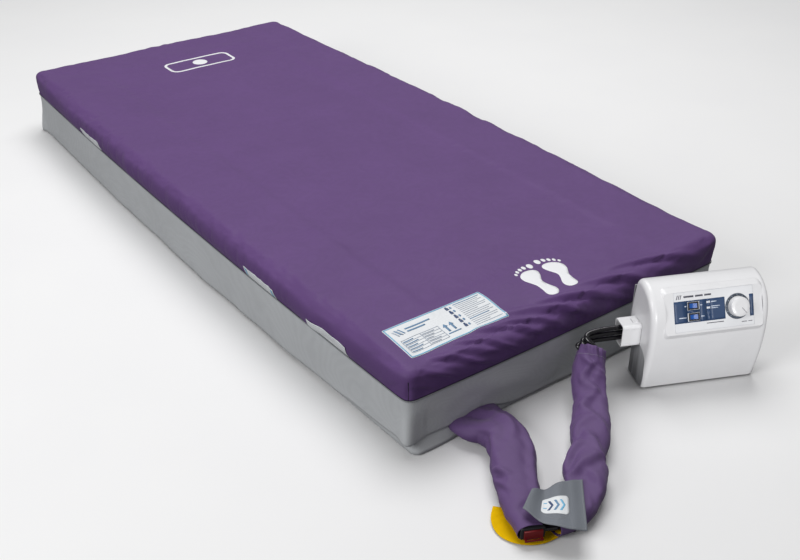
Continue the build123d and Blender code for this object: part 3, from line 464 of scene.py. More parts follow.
def seam_rings(core, out, section):
    """Rings round the seam, one for each pair of offset from the nominal edge and height."""
    return [level(bowed(core + out * (CORNER + offset)), z) for offset, z in section]


def corner_share(out, width):
    """1 in the middle of each corner, falling to 0 over a width, and 0 along the sides."""
    across = np.abs(out[:, 0]) - np.abs(out[:, 1])
    return np.exp(-(across / width) ** 2) * (np.abs(out[:, 0] * out[:, 1]) > 1e-6)


# ------------------------------------------------------------------ purple top cover

COVER_STEP = 8.0
CORNER_STEPS = 5


def cover_profile():
    """Inset, height and share of the bow, from the neck over the seam and side to the rounded edge."""
    profile = [(NECK_INSET, 112.0, 0.0), (NECK_INSET, 121.0, 0.0), (NECK_INSET, 129.4, 0.0),
               (7.0, 129.8, 0.6), (1.2, 130.0, 1.0), (0.0, 130.9, 1.0)]
    profile += [(0.0, z, 1.0) for z in np.linspace(134, WALL_Z, 7)]
    for turn in np.radians([15, 30, 45, 60, 75, 90]):
        profile.append((EDGE_RADIUS * (1 - math.cos(turn)), WALL_Z + EDGE_RADIUS * math.sin(turn), 1.0))
    return profile


def grid_step(line, index):
    """Core value at a grid index, how many steps it lies past the core, and towards which side."""
    if index < CORNER_STEPS:
        return line[0], CORNER_STEPS - index, -1
    inner = index - CORNER_STEPS
    last = len(line) - 1
    return line[min(inner, last)], max(inner - last, 0), 1


def cover_top():
    """Points of the flat top, its number of rows and its number of columns."""
    xs = np.linspace(-CORE_X, CORE_X, int(2 * CORE_X / COVER_STEP) + 1)
    ys = np.linspace(-CORE_Y, CORE_Y, int(2 * CORE_Y / COVER_STEP) + 1)
    rows = len(ys) + 2 * CORNER_STEPS
    columns = len(xs) + 2 * CORNER_STEPS
    step = (CORNER - EDGE_RADIUS) / CORNER_STEPS
    top = []
    for j in range(rows):
        y, past_y, side_y = grid_step(ys, j)
        for i in range(columns):
            x, past_x, side_x = grid_step(xs, i)
            top.append(corner_point(x, y, past_x, past_y, side_x, side_y, step))
    return level(bowed(np.array(top)), TOP_Z), rows, columns


def cover_sheet():
    """Points and faces of the cover as sewn: neck, seam, side, rounded edge and top."""
    core, out = around(COVER_STEP, CORNER_STEPS)
    rings = [level(bowed(core + out * (CORNER - inset), share), z) for inset, z, share in cover_profile()]
    faces = grid_faces(len(rings), len(core), close_columns=True)
    start = len(rings) * len(core)
    top, rows, columns = cover_top()
    for face in grid_faces(rows, columns):
        faces.append(tuple(start + v for v in face))
    return np.vstack(rings + [top]), faces


def corner_point(x, y, past_x, past_y, side_x, side_y, step):
    """Grid point bent round a corner, from its steps past the core in each direction."""
    if past_x == 0 or past_y == 0:
        return (x + side_x * past_x * step, y + side_y * past_y * step)
    radius = max(past_x, past_y) * step
    turn = math.radians(45) * min(past_x, past_y) / max(past_x, past_y)
    main, other = radius * math.cos(turn), radius * math.sin(turn)
    if past_x >= past_y:
        return (x + side_x * main, y + side_y * other)
    return (x + side_x * other, y + side_y * main)


def foot_rise(points):
    """Distance up the foot side from the seam, round the edge and onto the top."""
    x, y, z = points.T
    inward = HALF_Y + END_BOW * (1 - (x / HALF_X) ** 2) + y
    turn = np.arcsin(np.clip((z - WALL_Z) / EDGE_RADIUS, 0, 1))
    side = z - SEAM_Z
    edge = WALL_Z - SEAM_Z + EDGE_RADIUS * turn
    top = WALL_Z - SEAM_Z + EDGE_RADIUS * math.pi / 2 + inward - EDGE_RADIUS
    return np.where(z < WALL_Z, side, np.where(z < TOP_Z - 0.3, edge, top))


# start x, start rise, end x, end rise, width, height, bend
FOOT_FOLDS = [
    (-420, 72, -330, 14, 7, 5.3, 5), (-385, 92, -262, 20, 6, 5.6, 8), (-352, 84, -205, 30, 8, 5.0, 8),
    (-318, 104, -168, 12, 6, 5.9, 10), (-262, 112, -96, 22, 7, 6.8, 12), (-222, 104, -58, 34, 6, 6.6, 14),
    (-168, 122, -8, 44, 7, 6.5, 12), (-150, 110, 42, 12, 8, 5.6, 10), (-96, 118, 92, 30, 7, 6.2, 12),
    (-48, 100, 150, 14, 8, 5.0, 8), (12, 112, 214, 34, 7, 5.3, 8), (74, 96, 262, 18, 8, 4.3, 6),
    (120, 116, 330, 52, 7, 4.7, 8), (196, 102, 402, 30, 8, 3.7, 5), (-440, 40, -372, 4, 6, 3.4, 2),
    (-300, 46, -216, 2, 6, 3.4, 3), (-120, 56, -20, 2, 7, 3.7, 4), (60, 58, 170, 4, 7, 3.1, 3),
]
# long soft creases that run over the top near the foot end
TOP_FOLDS = [
    (-150, -905, 120, -985, 14, 1.6, -10), (70, -930, 330, -965, 12, 1.5, -8),
    (130, -900, 420, -930, 15, 1.3, -8), (-60, -960, 150, -992, 9, 1.4, -4),
    (-395, -880, -330, -975, 16, 1.2, 6),
]


def shape_cover(piece):
    """Gives the cover its puff, slumped foot edge, seams and folds."""
    points = vertex_points(piece)
    normals = vertex_values(piece.data, "normal")
    x, y, z = points.T
    rise = foot_rise(points)
    above = smooth_step(z, SEAM_Z + 0.5, SEAM_Z + 6)
    lift = np.zeros(len(points))
    side_share = above * (1 - smooth_step(z, WALL_Z - 4, TOP_Z))
    bulge = np.sin(np.clip((z - SEAM_Z) / (TOP_Z - SEAM_Z), 0, 1) * math.pi)
    left_or_right = smooth_step(np.abs(x) - 405, 0, 40) * (1 - smooth_step(np.abs(y), 700, 960))
    lift += side_share * bulge * (3.0 + 4.5 * left_or_right)
    lift += above * 1.1 * ripple(points, 170, 3) + above * 0.5 * ripple(points, 60, 4)
    long_side = smooth_step(np.abs(x), 425, 450) * above
    lift += long_side * 1.6 * ripple(points * (1, 1, 0.35), 120, 5)
    at_foot = (y < -820) & (z > SEAM_Z + 1)
    front = smooth_step(-y, 830, 940) * above
    for x0, r0, x1, r1, width, height, bend in FOOT_FOLDS:
        lift += np.where(at_foot, front * crease(x, rise, (x0, r0), (x1, r1), width, height, bend), 0)
    for x0, y0, x1, y1, width, height, bend in TOP_FOLDS:
        lift += np.where(z > TOP_Z - 1, crease(x, y, (x0, y0), (x1, y1), width, height, bend), 0)
    corner_seam = np.exp(-((np.abs(np.abs(x) - CORE_X - (np.abs(y) - CORE_Y)) / 2.4) ** 2))
    in_corner = (np.abs(x) > CORE_X + 6) & (np.abs(y) > CORE_Y + 6)
    below = 1 - smooth_step(z, 166, 182)
    lift -= np.where(in_corner, 2.2 * corner_seam * below * above, 0)
    moved = points + normals * lift[:, None]
    slump = smooth_step(-y, 880, 1000) * smooth_step(z, 150, 196)
    slump *= smooth_step(-x, -60, 170) * (1 - 0.6 * smooth_step(-x, 380, 440))
    moved[:, 2] -= 9.0 * slump
    moved[:, 2] = np.where(z > SEAM_Z + 1, np.maximum(moved[:, 2], SEAM_Z + 1), moved[:, 2])
    set_points(piece, moved)


SWELL_SETTINGS = {
    "quality": 5, "mass": 0.25, "tension_stiffness": 14, "compression_stiffness": 6, "shear_stiffness": 4,
    "bending_stiffness": 0.4, "use_pressure": True, "uniform_pressure_force": 0.8, "shrink_min": -0.012,
    "vertex_group_mass": "hold",
}
SWELL_FRAMES = 14
SWELL_TRAVEL = 2.5


def swell_cover(piece):
    """Cloth simulation of the laid-on cover: inflated against its own seams, with capped travel."""
    rest = vertex_points(piece)
    hold = piece.vertex_groups.new(name="hold")
    x, y, z = rest.T
    inward = np.minimum(HALF_X - np.abs(x), HALF_Y - np.abs(y))
    held = np.maximum(1 - smooth_step(z, SEAM_Z + 1, SEAM_Z + 12), smooth_step(inward, 140, 240))
    for index in np.nonzero(held > 0)[0]:
        hold.add([int(index)], float(held[index]), "REPLACE")
    settings = piece.modifiers.new("cloth", "CLOTH").settings
    for key, value in SWELL_SETTINGS.items():
        setattr(settings, key, value)
    settings.effector_weights.gravity = 0
    for number in range(1, SWELL_FRAMES + 1):
        bpy.context.scene.frame_set(number)
    graph = bpy.context.evaluated_depsgraph_get()
    moved = vertex_values(piece.evaluated_get(graph).to_mesh(), "co") / MM
    piece.modifiers.clear()
    bpy.context.scene.frame_set(1)
    travel = moved - rest
    length = np.linalg.norm(travel, axis=1, keepdims=True)
    set_points(piece, rest + travel * np.minimum(1, SWELL_TRAVEL / np.maximum(length, 1e-6)))


def build_cover():
    """Purple cover; returns its outer skin, for laying things on."""
    points, faces = cover_sheet()
    piece = new_piece("cover_shell", points, faces, "purple_fabric", "cover")
    swell_cover(piece)
    piece.modifiers.new("finer", "SUBSURF").levels = 1
    apply_modifiers(piece)
    shape_cover(piece)
    outer = vertex_points(piece)
    skin = BVHTree.FromPolygons([tuple(p) for p in outer], [tuple(f.vertices) for f in piece.data.polygons])
    thicken(piece, 1.0)
    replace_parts(piece, "top_cover")
    return skin


def top_height(skin, x, y):
    """Height of the cover's outer face at a plan point."""
    place, _, _, _ = skin.ray_cast((x, y, 300), (0, 0, -1))
    return place.z if place else TOP_Z


def left_face(skin, y, z):
    """How far left the cover's outer face reaches at a height."""
    place, _, _, _ = skin.ray_cast((-600, y, z), (1, 0, 0))
    return place.x if place else -460.0


# ------------------------------------------------------------------ prints and labels

def filled(outline_points, spacing):
    """Triangles over a closed plan outline, with inner points so that it can follow a surface."""
    outline_points = [Vector(p) for p in outline_points]
    xs = [p.x for p in outline_points]
    ys = [p.y for p in outline_points]
    points = list(outline_points)
    edges = [(i, (i + 1) % len(points)) for i in range(len(points))]
    for gx in np.arange(min(xs) + spacing / 2, max(xs), spacing):
        for gy in np.arange(min(ys) + spacing / 2, max(ys), spacing):
            points.append(Vector((gx, gy)))
    verts, _, faces, _, _, _ = delaunay_2d_cdt(points, edges, [], 1, 1e-4)
    return [(v.x, v.y) for v in verts], faces


def densify(corners, step):
    """Closed outline with points added along its straight sides."""
    result = []
    for i, start in enumerate(corners):
        end = corners[(i + 1) % len(corners)]
        count = max(1, int(math.dist(start, end) / step))
        for k in range(count):
            t = k / count
            result.append((start[0] + (end[0] - start[0]) * t, start[1] + (end[1] - start[1]) * t))
    return result


def box_outline(x0, x1, y0, y1):
    """Corners of a rectangle."""
    return [(x0, y0), (x1, y0), (x1, y1), (x0, y1)]


def round_box(cx, cy, width, height, radius, steps=6):
    """Rounded rectangle outline."""
    points = []
    for index, (sx, sy) in enumerate(((1, -1), (1, 1), (-1, 1), (-1, -1))):
        for k in range(steps + 1):
            turn = math.radians(-90 + 90 * index + 90 * k / steps)
            points.append((cx + sx * (width / 2 - radius) + radius * math.cos(turn),
                           cy + sy * (height / 2 - radius) + radius * math.sin(turn)))
    return points


def ellipse(cx, cy, rx, ry, count=20):
    """Outline of an upright ellipse."""
    turns = [2 * math.pi * k / count for k in range(count)]
    return [(cx + rx * math.cos(a), cy + ry * math.sin(a)) for a in turns]


class Print:
    """Thin printed shapes laid on a surface given by a function of two plan coordinates."""

    def __init__(self, name, place, body, slot):
        self.name, self.place, self.body, self.slot = name, place, body, slot
        self.points, self.faces, self.materials, self.names = [], [], [], []

    def add(self, outline_points, material, lift, spacing=6.0):
        """Adds one filled shape, lifted off the surface."""
        verts, faces = filled(densify(outline_points, spacing), spacing)
        start = len(self.points)
        if material not in self.names:
            self.names.append(material)
        for u, v in verts:
            self.points.append(self.place(u, v, lift))
        flip = self.faces_away(verts, faces[0], lift)
        for face in faces:
            self.faces.append([start + i for i in (reversed(face) if flip else face)])
            self.materials.append(self.names.index(material))

    def faces_away(self, verts, face, lift):
        """True if a triangle turns its back to the side that the lift points to."""
        a, b, c = [np.array(self.place(*verts[i], lift)) for i in face[:3]]
        out = np.array(self.place(*verts[face[0]], lift + 1.0)) - a
        return np.dot(np.cross(b - a, c - a), out) < 0

    def boxes(self, boxes, material, lift, spacing=6.0):
        """Adds plain rectangles, each given as x0, x1, y0, y1."""
        for box in boxes:
            self.add(box_outline(*box), material, lift, spacing)

    def build(self, thickness=0.12):
        """Makes the piece from the shapes added so far."""
        piece = mesh_object(self.name, self.points, self.faces, self.names)
        mesh = piece.data
        mesh.polygons.foreach_set("material_index", self.materials)
        mesh.polygons.foreach_set("use_smooth", [True] * len(mesh.polygons))
        mesh.validate()
        thicken(piece, thickness)
        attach(piece, self.body)
        return piece


FOOT_OUTLINE = [
    (0, 0), (9, 3), (15, 13), (14, 26), (7, 42), (4, 56), (9, 68), (15, 80), (18, 93), (12, 102),
    (-2, 105), (-16, 102), (-26, 95), (-32, 84), (-31, 70), (-24, 56), (-18, 44), (-16, 28), (-16, 12),
    (-9, 2),
]
# middle and half sizes of each toe
TOES = [
    (14, 119, 7, 10), (-2, 119, 4.8, 7.2), (-14, 115, 4.3, 6.4), (-24.5, 109.5, 3.8, 5.6),
    (-33, 101.5, 3.6, 4.8),
]
FEET = ((1, -32), (-1, 22))  # mirrored or not, and how far to the side
FOOT_TURN = math.radians(-8)
FEET_Y = -962
PRINT_LIFT = 0.35


def catmull(points, t):
    """Point at t between the second and third of four points of a Catmull-Rom curve."""
    p0, p1, p2, p3 = points
    return 0.5 * (2 * p1 + (p2 - p0) * t + (2 * p0 - 5 * p1 + 4 * p2 - p3) * t ** 2
                  + (3 * p1 - p0 - 3 * p2 + p3) * t ** 3)


def smooth_loop(points, count=5):
    """Closed Catmull-Rom curve through the points."""
    result = []
    total = len(points)
    for i in range(total):
        near = [np.array(points[(i + k - 1) % total], float) for k in range(4)]
        result += [tuple(catmull(near, k / count)) for k in range(count)]
    return result


def build_motifs(skin):
    """White footprints at the foot end and a pillow pictogram at the head end."""
    def place(x, y, lift):
        return (x, y, top_height(skin, x, y) + lift)
    prints = Print("printed_marks", place, "cover", "white_print")
    c, s = math.cos(FOOT_TURN), math.sin(FOOT_TURN)
    for side, cx in FEET:
        def placed(shape):
            return [(cx + side * px * c - py * s, FEET_Y + side * px * s + py * c) for px, py in shape]
        prints.add(placed(smooth_loop(FOOT_OUTLINE)), "white_print", PRINT_LIFT)
        for toe in TOES:
            prints.add(placed(ellipse(*toe)), "white_print", PRINT_LIFT, 3.0)
    for part in ring_parts(20, 764, 230, 92, 26, 9):
        prints.add(part, "white_print", PRINT_LIFT)
    prints.add(ellipse(20, 764, 24, 24, count=32), "white_print", PRINT_LIFT)
    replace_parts(prints.build(), "printed_motifs")


def ring_parts(cx, cy, width, height, radius, band):
    """Rounded ring as two half outlines that meet on its long axis."""
    outer = round_box(cx, cy, width, height, radius)
    inner = round_box(cx, cy, width - 2 * band, height - 2 * band, radius - band)
    count = len(outer)
    halves = []
    for first in (0, count // 2):
        picks = [(first + k) % count for k in range(count // 2 + 1)]
        halves.append([outer[i] for i in picks] + [inner[i] for i in reversed(picks)])
    return halves


LABEL_LEFT, LABEL_BOTTOM = -410.0, -960.0
LABEL_SIZE = (250.0, 101.0)
BAR_LENGTHS = (68, 60, 66, 52, 68, 64, 40)


def build_label(skin):
    """Care label: white sheet with a blue border, bars for text, a box of lines, arrows and icons."""
    def place(u, v, lift):
        x, y = LABEL_LEFT + u, LABEL_BOTTOM + v
        return (x, y, top_height(skin, x, y) + lift)
    width, depth = LABEL_SIZE
    sheet = Print("label_sheet", place, "cover", "white_label")
    sheet.add(round_box(width / 2, depth / 2, width, depth, 3), "white_label", 0.6, 7)
    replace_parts(sheet.build(0.5), "care_label")
    ink = Print("label_print", place, "cover", "white_label")
    lift = 1.05
    ink.boxes(((1.5, 248.5, 1.5, 4), (1.5, 248.5, 97, 99.5), (1.5, 4, 4.5, 96.5), (246, 248.5, 4.5, 96.5)),
              "label_blue", lift, 9)
    label_heading(ink, lift)
    label_table(ink, lift)
    label_icons(ink, lift)
    for row in range(15):
        y = 90 - 5.6 * row
        title = row in (0, 10)
        ink.boxes([(173, 173 + BAR_LENGTHS[row % 7], y, y + (2.0 if title else 1.3))],
                  "label_steel" if title else "label_grey", lift, 9)
    ink.build(0.1)


def label_heading(ink, lift):
    """Slanted strokes and two bars in place of a name."""
    for k in range(2):
        x = 12 + 9 * k
        ink.add([(x, 84), (x + 3, 84), (x + 9, 66), (x + 6, 66)], "label_grey", lift)
        ink.add([(x + 6, 86), (x + 9, 86), (x + 15, 68), (x + 12, 68)], "label_steel", lift)
    ink.boxes(((42, 104, 78, 82), (42, 86, 69, 73)), "label_steel", lift)


def label_table(ink, lift):
    """Ruled table with a bar in every cell."""
    rows = [52 - 8 * row for row in range(6)]
    ink.boxes([(12, 104, y, y + 1.2) for y in rows], "label_grey", lift, 9)
    ink.boxes([(x, x + 1.2, 12, 53.2) for x in (12, 58, 102.8)], "label_grey", lift)
    for row in range(5):
        y = 46.6 - 8 * row
        ink.boxes([(15, 39 + 7 * (row % 2), y, y + 2.2)], "label_steel", lift)
        ink.boxes([(61, 91 - 6 * (row % 3), y, y + 2.2)], "label_grey", lift)


def label_icons(ink, lift):
    """Two arrows over a bar, and a column of care icons."""
    for x in (116, 131):
        arrow = ((-2.4, 26), (2.4, 26), (2.4, 42), (6, 42), (0, 51), (-6, 42), (-2.4, 42))
        ink.add([(x + across, up) for across, up in arrow], "label_steel", lift)
    ink.boxes([(108, 139, 19, 22)], "label_steel", lift)
    for row in range(5):
        y = 82 - 15.5 * row
        ink.boxes([(151, 158, y, y + 7.5)], "label_navy", lift, 3)
        ink.add(ellipse(154.5, y + 10, 2.6, 2.2), "label_navy", lift, 3)
        ink.add(ellipse(163, y + 4 + (row % 2) * 2, 2.4, 3.6), "label_steel", lift, 3)


SIDE_TAGS = ((509.0, 134.0), (-470.0, 132.0), (-741.0, 137.0))  # middle along y, length
TAG_ROWS, TAG_COLUMNS = 9, 34


def tag_grid(skin, number, centre, length):
    """Points of a handling tag that hangs in slight waves against the cover's left side."""
    wave = 1.4 if number == 2 else 0.5
    points = []
    for r in range(TAG_ROWS):
        up = r / (TAG_ROWS - 1)
        z = 131.4 + up * 27
        for c in range(TAG_COLUMNS):
            y = centre + (c / (TAG_COLUMNS - 1) - 0.5) * length
            x = left_face(skin, y, z) - (0.8 + wave * up * (1 + math.sin(c * 0.42 + number)) * 0.6)
            points.append((x, y, z + 0.5 * math.sin(c * 0.3 + number) * up))
    return np.array(points).reshape(TAG_ROWS, TAG_COLUMNS, 3)


def build_tags(skin):
    """White handling tags on the left side, each with a stitched hem, one with blue end marks."""
    for number, (centre, length) in enumerate(SIDE_TAGS):
        grid = tag_grid(skin, number, centre, length)
        tag = new_piece(f"side_tag_{number + 1}", grid.reshape(-1, 3), grid_faces(TAG_ROWS, TAG_COLUMNS),
                        "white_label", "cover", thickness=0.5)
        if number == 0:
            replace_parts(tag, "side_tags")
        for k, column in enumerate([1, TAG_COLUMNS - 4] if number == 1 else []):
            patch = grid[1:TAG_ROWS - 1, column:column + 3] - (0.35, 0, 0)
            new_piece(f"side_tag_mark_{k + 1}", patch.reshape(-1, 3), grid_faces(TAG_ROWS - 2, 3),
                      "label_blue", "cover", thickness=0.15)
        hem = grid[TAG_ROWS - 2, 1:] - (0.25, 0, 0)
        stitches = [(a, a + (b - a) * STITCH_SHARE) for a, b in zip(hem, hem[1:])]
        stitch_row(f"side_tag_stitches_{number + 1}", stitches, "label_grey", "cover", 0.3)


STITCH_SHARE = 0.6  # of its step that a stitch takes up
THREAD_SIDES = 5
THREAD_RINGS = ((0.0, 0.35), (0.15, 1.0), (0.85, 1.0), (1.0, 0.35))  # share of the length, of the radius


def stitches_along(line, step, closed=False, share=STITCH_SHARE):
    """Start and end points of stitches along a line."""
    dense = resample(np.vstack([line, line[:1]]) if closed else line, step)
    return [(a, a + (b - a) * share) for a, b in zip(dense, dense[1:])]


def stitch_row(name, segments, material, body, radius):
    """Short rounded threads, one for each start and end point."""
    points, faces = [], []
    turns = [2 * math.pi * k / THREAD_SIDES for k in range(THREAD_SIDES)]
    for start, end in segments:
        start, end = np.array(start, float), np.array(end, float)
        axis = end - start
        length = np.linalg.norm(axis)
        if length < 1e-6:
            continue
        axis /= length
        side = np.cross(axis, (0, 0, 1.0))
        if np.linalg.norm(side) < 1e-3:
            side = np.cross(axis, (1.0, 0, 0))
        side /= np.linalg.norm(side)
        up = np.cross(side, axis)
        base = len(points)
        for share, size in THREAD_RINGS:
            for turn in turns:
                around_axis = side * math.cos(turn) + up * math.sin(turn)
                points.append(start + axis * length * share + radius * size * around_axis)
        for face in grid_faces(len(THREAD_RINGS), THREAD_SIDES, close_columns=True):
            faces.append(tuple(base + v for v in face))
        faces.append(tuple(base + k for k in reversed(range(THREAD_SIDES))))
        faces.append(tuple(base + (len(THREAD_RINGS) - 1) * THREAD_SIDES + k for k in range(THREAD_SIDES)))
    return new_piece(name, points, faces, material, body)


# ------------------------------------------------------------------ skirt flap, binding, base cover, zip

FOOT_HEM = [(-405, 30), (-370, 27), (-330, 28), (-300, 36), (-275, 40), (-250, 37), (-222, 22),
            (-195, 11), (-120, 9), (0, 8), (200, 5), (470, 4)]
LEFT_HEM = [(-955, 29), (-900, 23), (-800, 15), (-622, 9), (-400, 5), (955, 3)]


def hem_height(plan):
    """Height of the flap's lower edge at a plan point; it is lifted at the foot end's left."""
    x, y = plan.T
    foot = np.interp(x, *zip(*FOOT_HEM))
    left = np.interp(y, *zip(*LEFT_HEM))
    in_corner = (x < -CORE_X) & (y < -CORE_Y)
    return np.where(in_corner, 30.0, np.where(y < -CORE_Y, foot, np.where(x < -CORE_X, left, 3.0)))


FLAP_ROWS = 26
FLAP_FOLDS = [
    (-430, 112, -300, 34, 22, 3.0, 8), (-330, 118, -160, 40, 26, 3.4, 10), (-250, 96, -60, 20, 24, 2.8, 8),
    (-120, 104, 60, 30, 30, 2.2, 8), (40, 110, 230, 40, 30, 2.0, 6),
]


def flap_offset(t, arc, edge, z):
    """How far the flap stands off the seam's outline, a share t of the way down it."""
    swell = 0
    for height, stretch, wavelength, seed in ((2.4, 0.5, 420, 21), (1.5, 1, 190, 22), (0.5, 1.5, 70, 23)):
        swell = swell + height * ripple(np.column_stack([arc, z * stretch]), wavelength, seed)
    drop = smooth_step(t, 0.0, 1.0)
    offset = -0.8 - 1.0 * math.sin(t * math.pi) + swell * (0.25 + 0.75 * drop) * min(1.0, 6 * t)
    folds = np.zeros(len(arc))
    for x0, z0, x1, z1, width, height, bend in FLAP_FOLDS:
        folds += crease(edge[:, 0], z, (x0, z0), (x1, z1), width, height, bend)
    return offset + np.where(edge[:, 1] < -990, folds, 0)


def build_flap():
    """Grey flap that hangs from the seam in large soft waves."""
    core, out = around(8.0, 8)
    edge = bowed(core + out * CORNER)
    hem = hem_height(edge)
    for _ in range(6):
        hem = (np.roll(hem, 1) + 2 * hem + np.roll(hem, -1)) / 4
    arc = running_length(edge)
    corner = corner_share(out, 0.42)
    lines = []
    for t in np.arange(FLAP_ROWS) / (FLAP_ROWS - 1):
        z = (SEAM_Z - 0.6) * (1 - t) + hem * t
        offset = flap_offset(t, arc, edge, z) + (12 * smooth_step(t, 0.1, 1.0) * corner) + 1.5 * t
        lines.append(level(bowed(core + out * (CORNER + offset[:, None])), z))
    piece = new_piece("flap_curtain", np.vstack(lines), grid_faces(FLAP_ROWS, len(core), close_columns=True),
                      "grey_fabric", "cover", thickness=1.0)
    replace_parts(piece, "skirt_flap")
    stitches = stitches_along(lines[-2] + level(out, 0) * 0.15, 4.2, closed=True, share=0.62)
    stitch_row("flap_hem_stitches", stitches, "thread", "cover", 0.28)


def resample(points, step):
    """Evenly spaced points along a line of points."""
    arc = running_length(points)
    wanted = np.linspace(0, arc[-1], max(2, int(arc[-1] / step) + 1))
    return np.column_stack([np.interp(wanted, arc, column) for column in points.T])


def build_binding():
    """Folded tape in the seam, with a dark shadow line above it and stitches along it."""
    core, out = around(8.0, 8)
    for name, material, section in (
        ("seam_tape", "binding",
         [(0.1, 127.2), (1.0, 127.3), (1.4, 128.4), (1.3, 129.8), (0.9, 130.5), (0.1, 130.7)]),
        # painted shadow: dark strip along the top of the seam tape
        ("seam_shadow_piping", "seam_shade", [(0.15, 130.75), (0.85, 130.7), (0.9, 131.5), (0.1, 131.7)]),
    ):
        faces = grid_faces(len(section), len(core), close_rows=True, close_columns=True)
        points = np.vstack(seam_rings(core, out, section))
        piece = new_piece(name, points, faces, material, "cover")
        if name == "seam_tape":
            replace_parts(piece, "seam_binding")
    line = seam_rings(*around(8.0, 6), [(1.45, 128.6)])[0]
    stitch_row("seam_stitches", stitches_along(line, 4.0, closed=True), "thread", "cover", 0.3)


def straight_loop(offset, z, step=10.0):
    """Points round the straight base outline at an offset from its wall."""
    core, out = around(step, 5)
    return level(core + out * (CORNER - BASE_SETBACK + offset), z)


def build_corner_seam_shade(skin):
    """Strip of painted shade, the purple darkened, in the recessed seam up each corner of the cover."""
    for number, (sx, sy) in enumerate(((-1, -1), (1, -1), (1, 1), (-1, 1))):
        ahead = Vector((-sx, -sy, 0)).normalized()
        across = Vector((-sy, sx, 0)).normalized()
        points = []
        for z in np.linspace(131.5, 176, 24):
            start = Vector((sx * (CORE_X + 200), sy * (CORE_Y + 200), z))
            place, _, _, _ = skin.ray_cast(start, ahead)
            for side in (-1.0, 1.0):
                points.append(tuple(place - ahead * 0.25 + across * side))
        # each strip is painted shade in the corner seam's groove
        new_piece(f"corner_seam_shade_{number + 1}", points, grid_faces(24, 2), "seam_shade", "cover",
                  thickness=0.4)


# offset from the base's wall and height, from its rim down to the turn into the floor sheet
BASE_ROWS = [(0.6, 99.5), (0.0, 96.0), (0.0, 78.0), (1.5, 60.0), (4.0, 42.0), (7.0, 24.0), (9.0, 10.0),
             (8.5, 3.0), (6.0, 0.8)]


def base_rings():
    """Rings of the base cover's wall, which flares outward at its foot."""
    core, out = around(10.0, 5)
    near_corner = np.exp(-(np.hypot(core[:, 0] + CORE_X, core[:, 1] + CORE_Y) / 170) ** 2)
    rings = []
    for offset, z in BASE_ROWS:
        plan = core + out * (CORNER - BASE_SETBACK + offset)
        plan += (bowed(plan) - plan) * (1 - smooth_step(z, 40, 78))
        plan[:, 1] -= 22 * near_corner * (1 - smooth_step(z, 4, 34)) * smooth_step(-out[:, 1], 0, 0.5)
        points = level(plan, z)
        belly = math.sin(np.clip((z - 4) / 92, 0, 1) * math.pi)
        push = belly * (0.5 + 0.6 * ripple(points, 150, 31))
        points[:, :2] += out * (push - 1.0 * corner_share(out, 0.12))[:, None]
        rings.append(points)
    return rings


def in_air_slot(point):
    """True inside the slot in the foot end that the air lines leave through."""
    return point[1] < -980 and abs(point[0] + 280) < 38 and 5 < point[2] < 45


def build_base():
    """Grey base cover: a wall with corner seams, joined to a stitched floor sheet."""
    rings = base_rings()
    faces = grid_faces(len(rings), len(rings[0]), close_columns=True)
    floor_points, floor_faces = filled([tuple(p[:2]) for p in rings[-1]], 40.0)
    points = np.vstack(rings)
    start = len(points)
    points = np.vstack([points, [(x, y, 0.8) for x, y in floor_points]])
    faces += [tuple(start + i for i in face) for face in floor_faces]
    faces = [face for face in faces if not in_air_slot(points[list(face)].mean(axis=0))]
    tray = new_piece("base_tray", points, faces, "grey_fabric", "mattress", thickness=0.8)
    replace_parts(tray, "base_cover")
    stitches = stitches_along(straight_loop(0.35, 6.5), 4.5, closed=True)
    stitch_row("base_stitches", stitches, "thread", "mattress", 0.28)


def build_zip():
    """Zip tapes as woven strips with a row of coil teeth along each meeting edge."""
    for side, body, half, wall, reach in ((-1, "mattress", "lower", 0.7, 12), (1, "cover", "upper", 2.3, 16)):
        levels = np.linspace(ZIP_Z + side * 0.7, ZIP_Z + side * reach, 5)
        rings = [straight_loop(wall + 0.7, z) for z in levels]
        rings += [straight_loop(wall + 0.1, z) for z in levels[::-1]]
        tape = new_piece(f"zip_band_{half}", np.vstack(rings),
                         grid_faces(len(rings), len(rings[0]), close_rows=True, close_columns=True),
                         "zip_nylon", body)
        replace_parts(tape, f"zip_tape_{half}")
        line = straight_loop(2.6, ZIP_Z + side * 1.6)
        dense = resample(np.vstack([line, line[:1]]), 2.6)
        lean = unit_rows(np.diff(dense, axis=0)) * 0.3 + (0, 0, 0.8)
        teeth = [(place - half_tooth, place + half_tooth) for place, half_tooth in zip(dense, lean)]
        stitch_row(f"zip_coil_{half}", teeth, "zip_nylon", body, 0.75)


# ------------------------------------------------------------------ air cells

def rounded(turn, half, power):
    """One coordinate of a boxy oval at a turn, from that turn's cosine or sine."""
    return np.sign(turn) * np.abs(turn) ** power * half


def cell_mesh():
    """One air cell about its own centre: a plump welded tube with pinched ends."""
    length, width, height = CELL_SIZE
    stations, ring = 84, 44
    points = []
    for t in [s / (stations - 1) for s in range(stations)]:
        end = min(t, 1 - t) * length
        full = min(1.0, 0.62 + 0.38 * math.sin(min(1.0, end / 46) * math.pi / 2))
        for turn in [2 * math.pi * k / ring for k in range(ring)]:
            pleat = 1.0 - 0.03 * (1 - min(1.0, end / 90)) * (1 + math.cos(turn * 9))
            y = rounded(math.cos(turn), width / 2, 0.8) * full * pleat
            z = rounded(math.sin(turn), height / 2, 0.8) * (0.9 + 0.1 * full) * pleat
            points.append(((t - 0.5) * length, y, z))
    faces = grid_faces(stations, ring, close_columns=True)
    for start, bulge in ((0, 1.0), ((stations - 1) * ring, -1.0)):
        rim = points[start:start + ring]
        x = rim[0][0]
        middle = len(points)
        points.append((x + 2 * bulge, 0, 0))
        points += [(x + bulge, y * 0.55, z * 0.55) for _, y, z in rim]
        for k in range(ring):
            k2 = (k + 1) % ring
            inner, inner2 = middle + 1 + k, middle + 1 + k2
            faces.append((start + k, start + k2, inner2, inner))
            faces.append((inner, inner2, middle))
    return np.array(points), faces


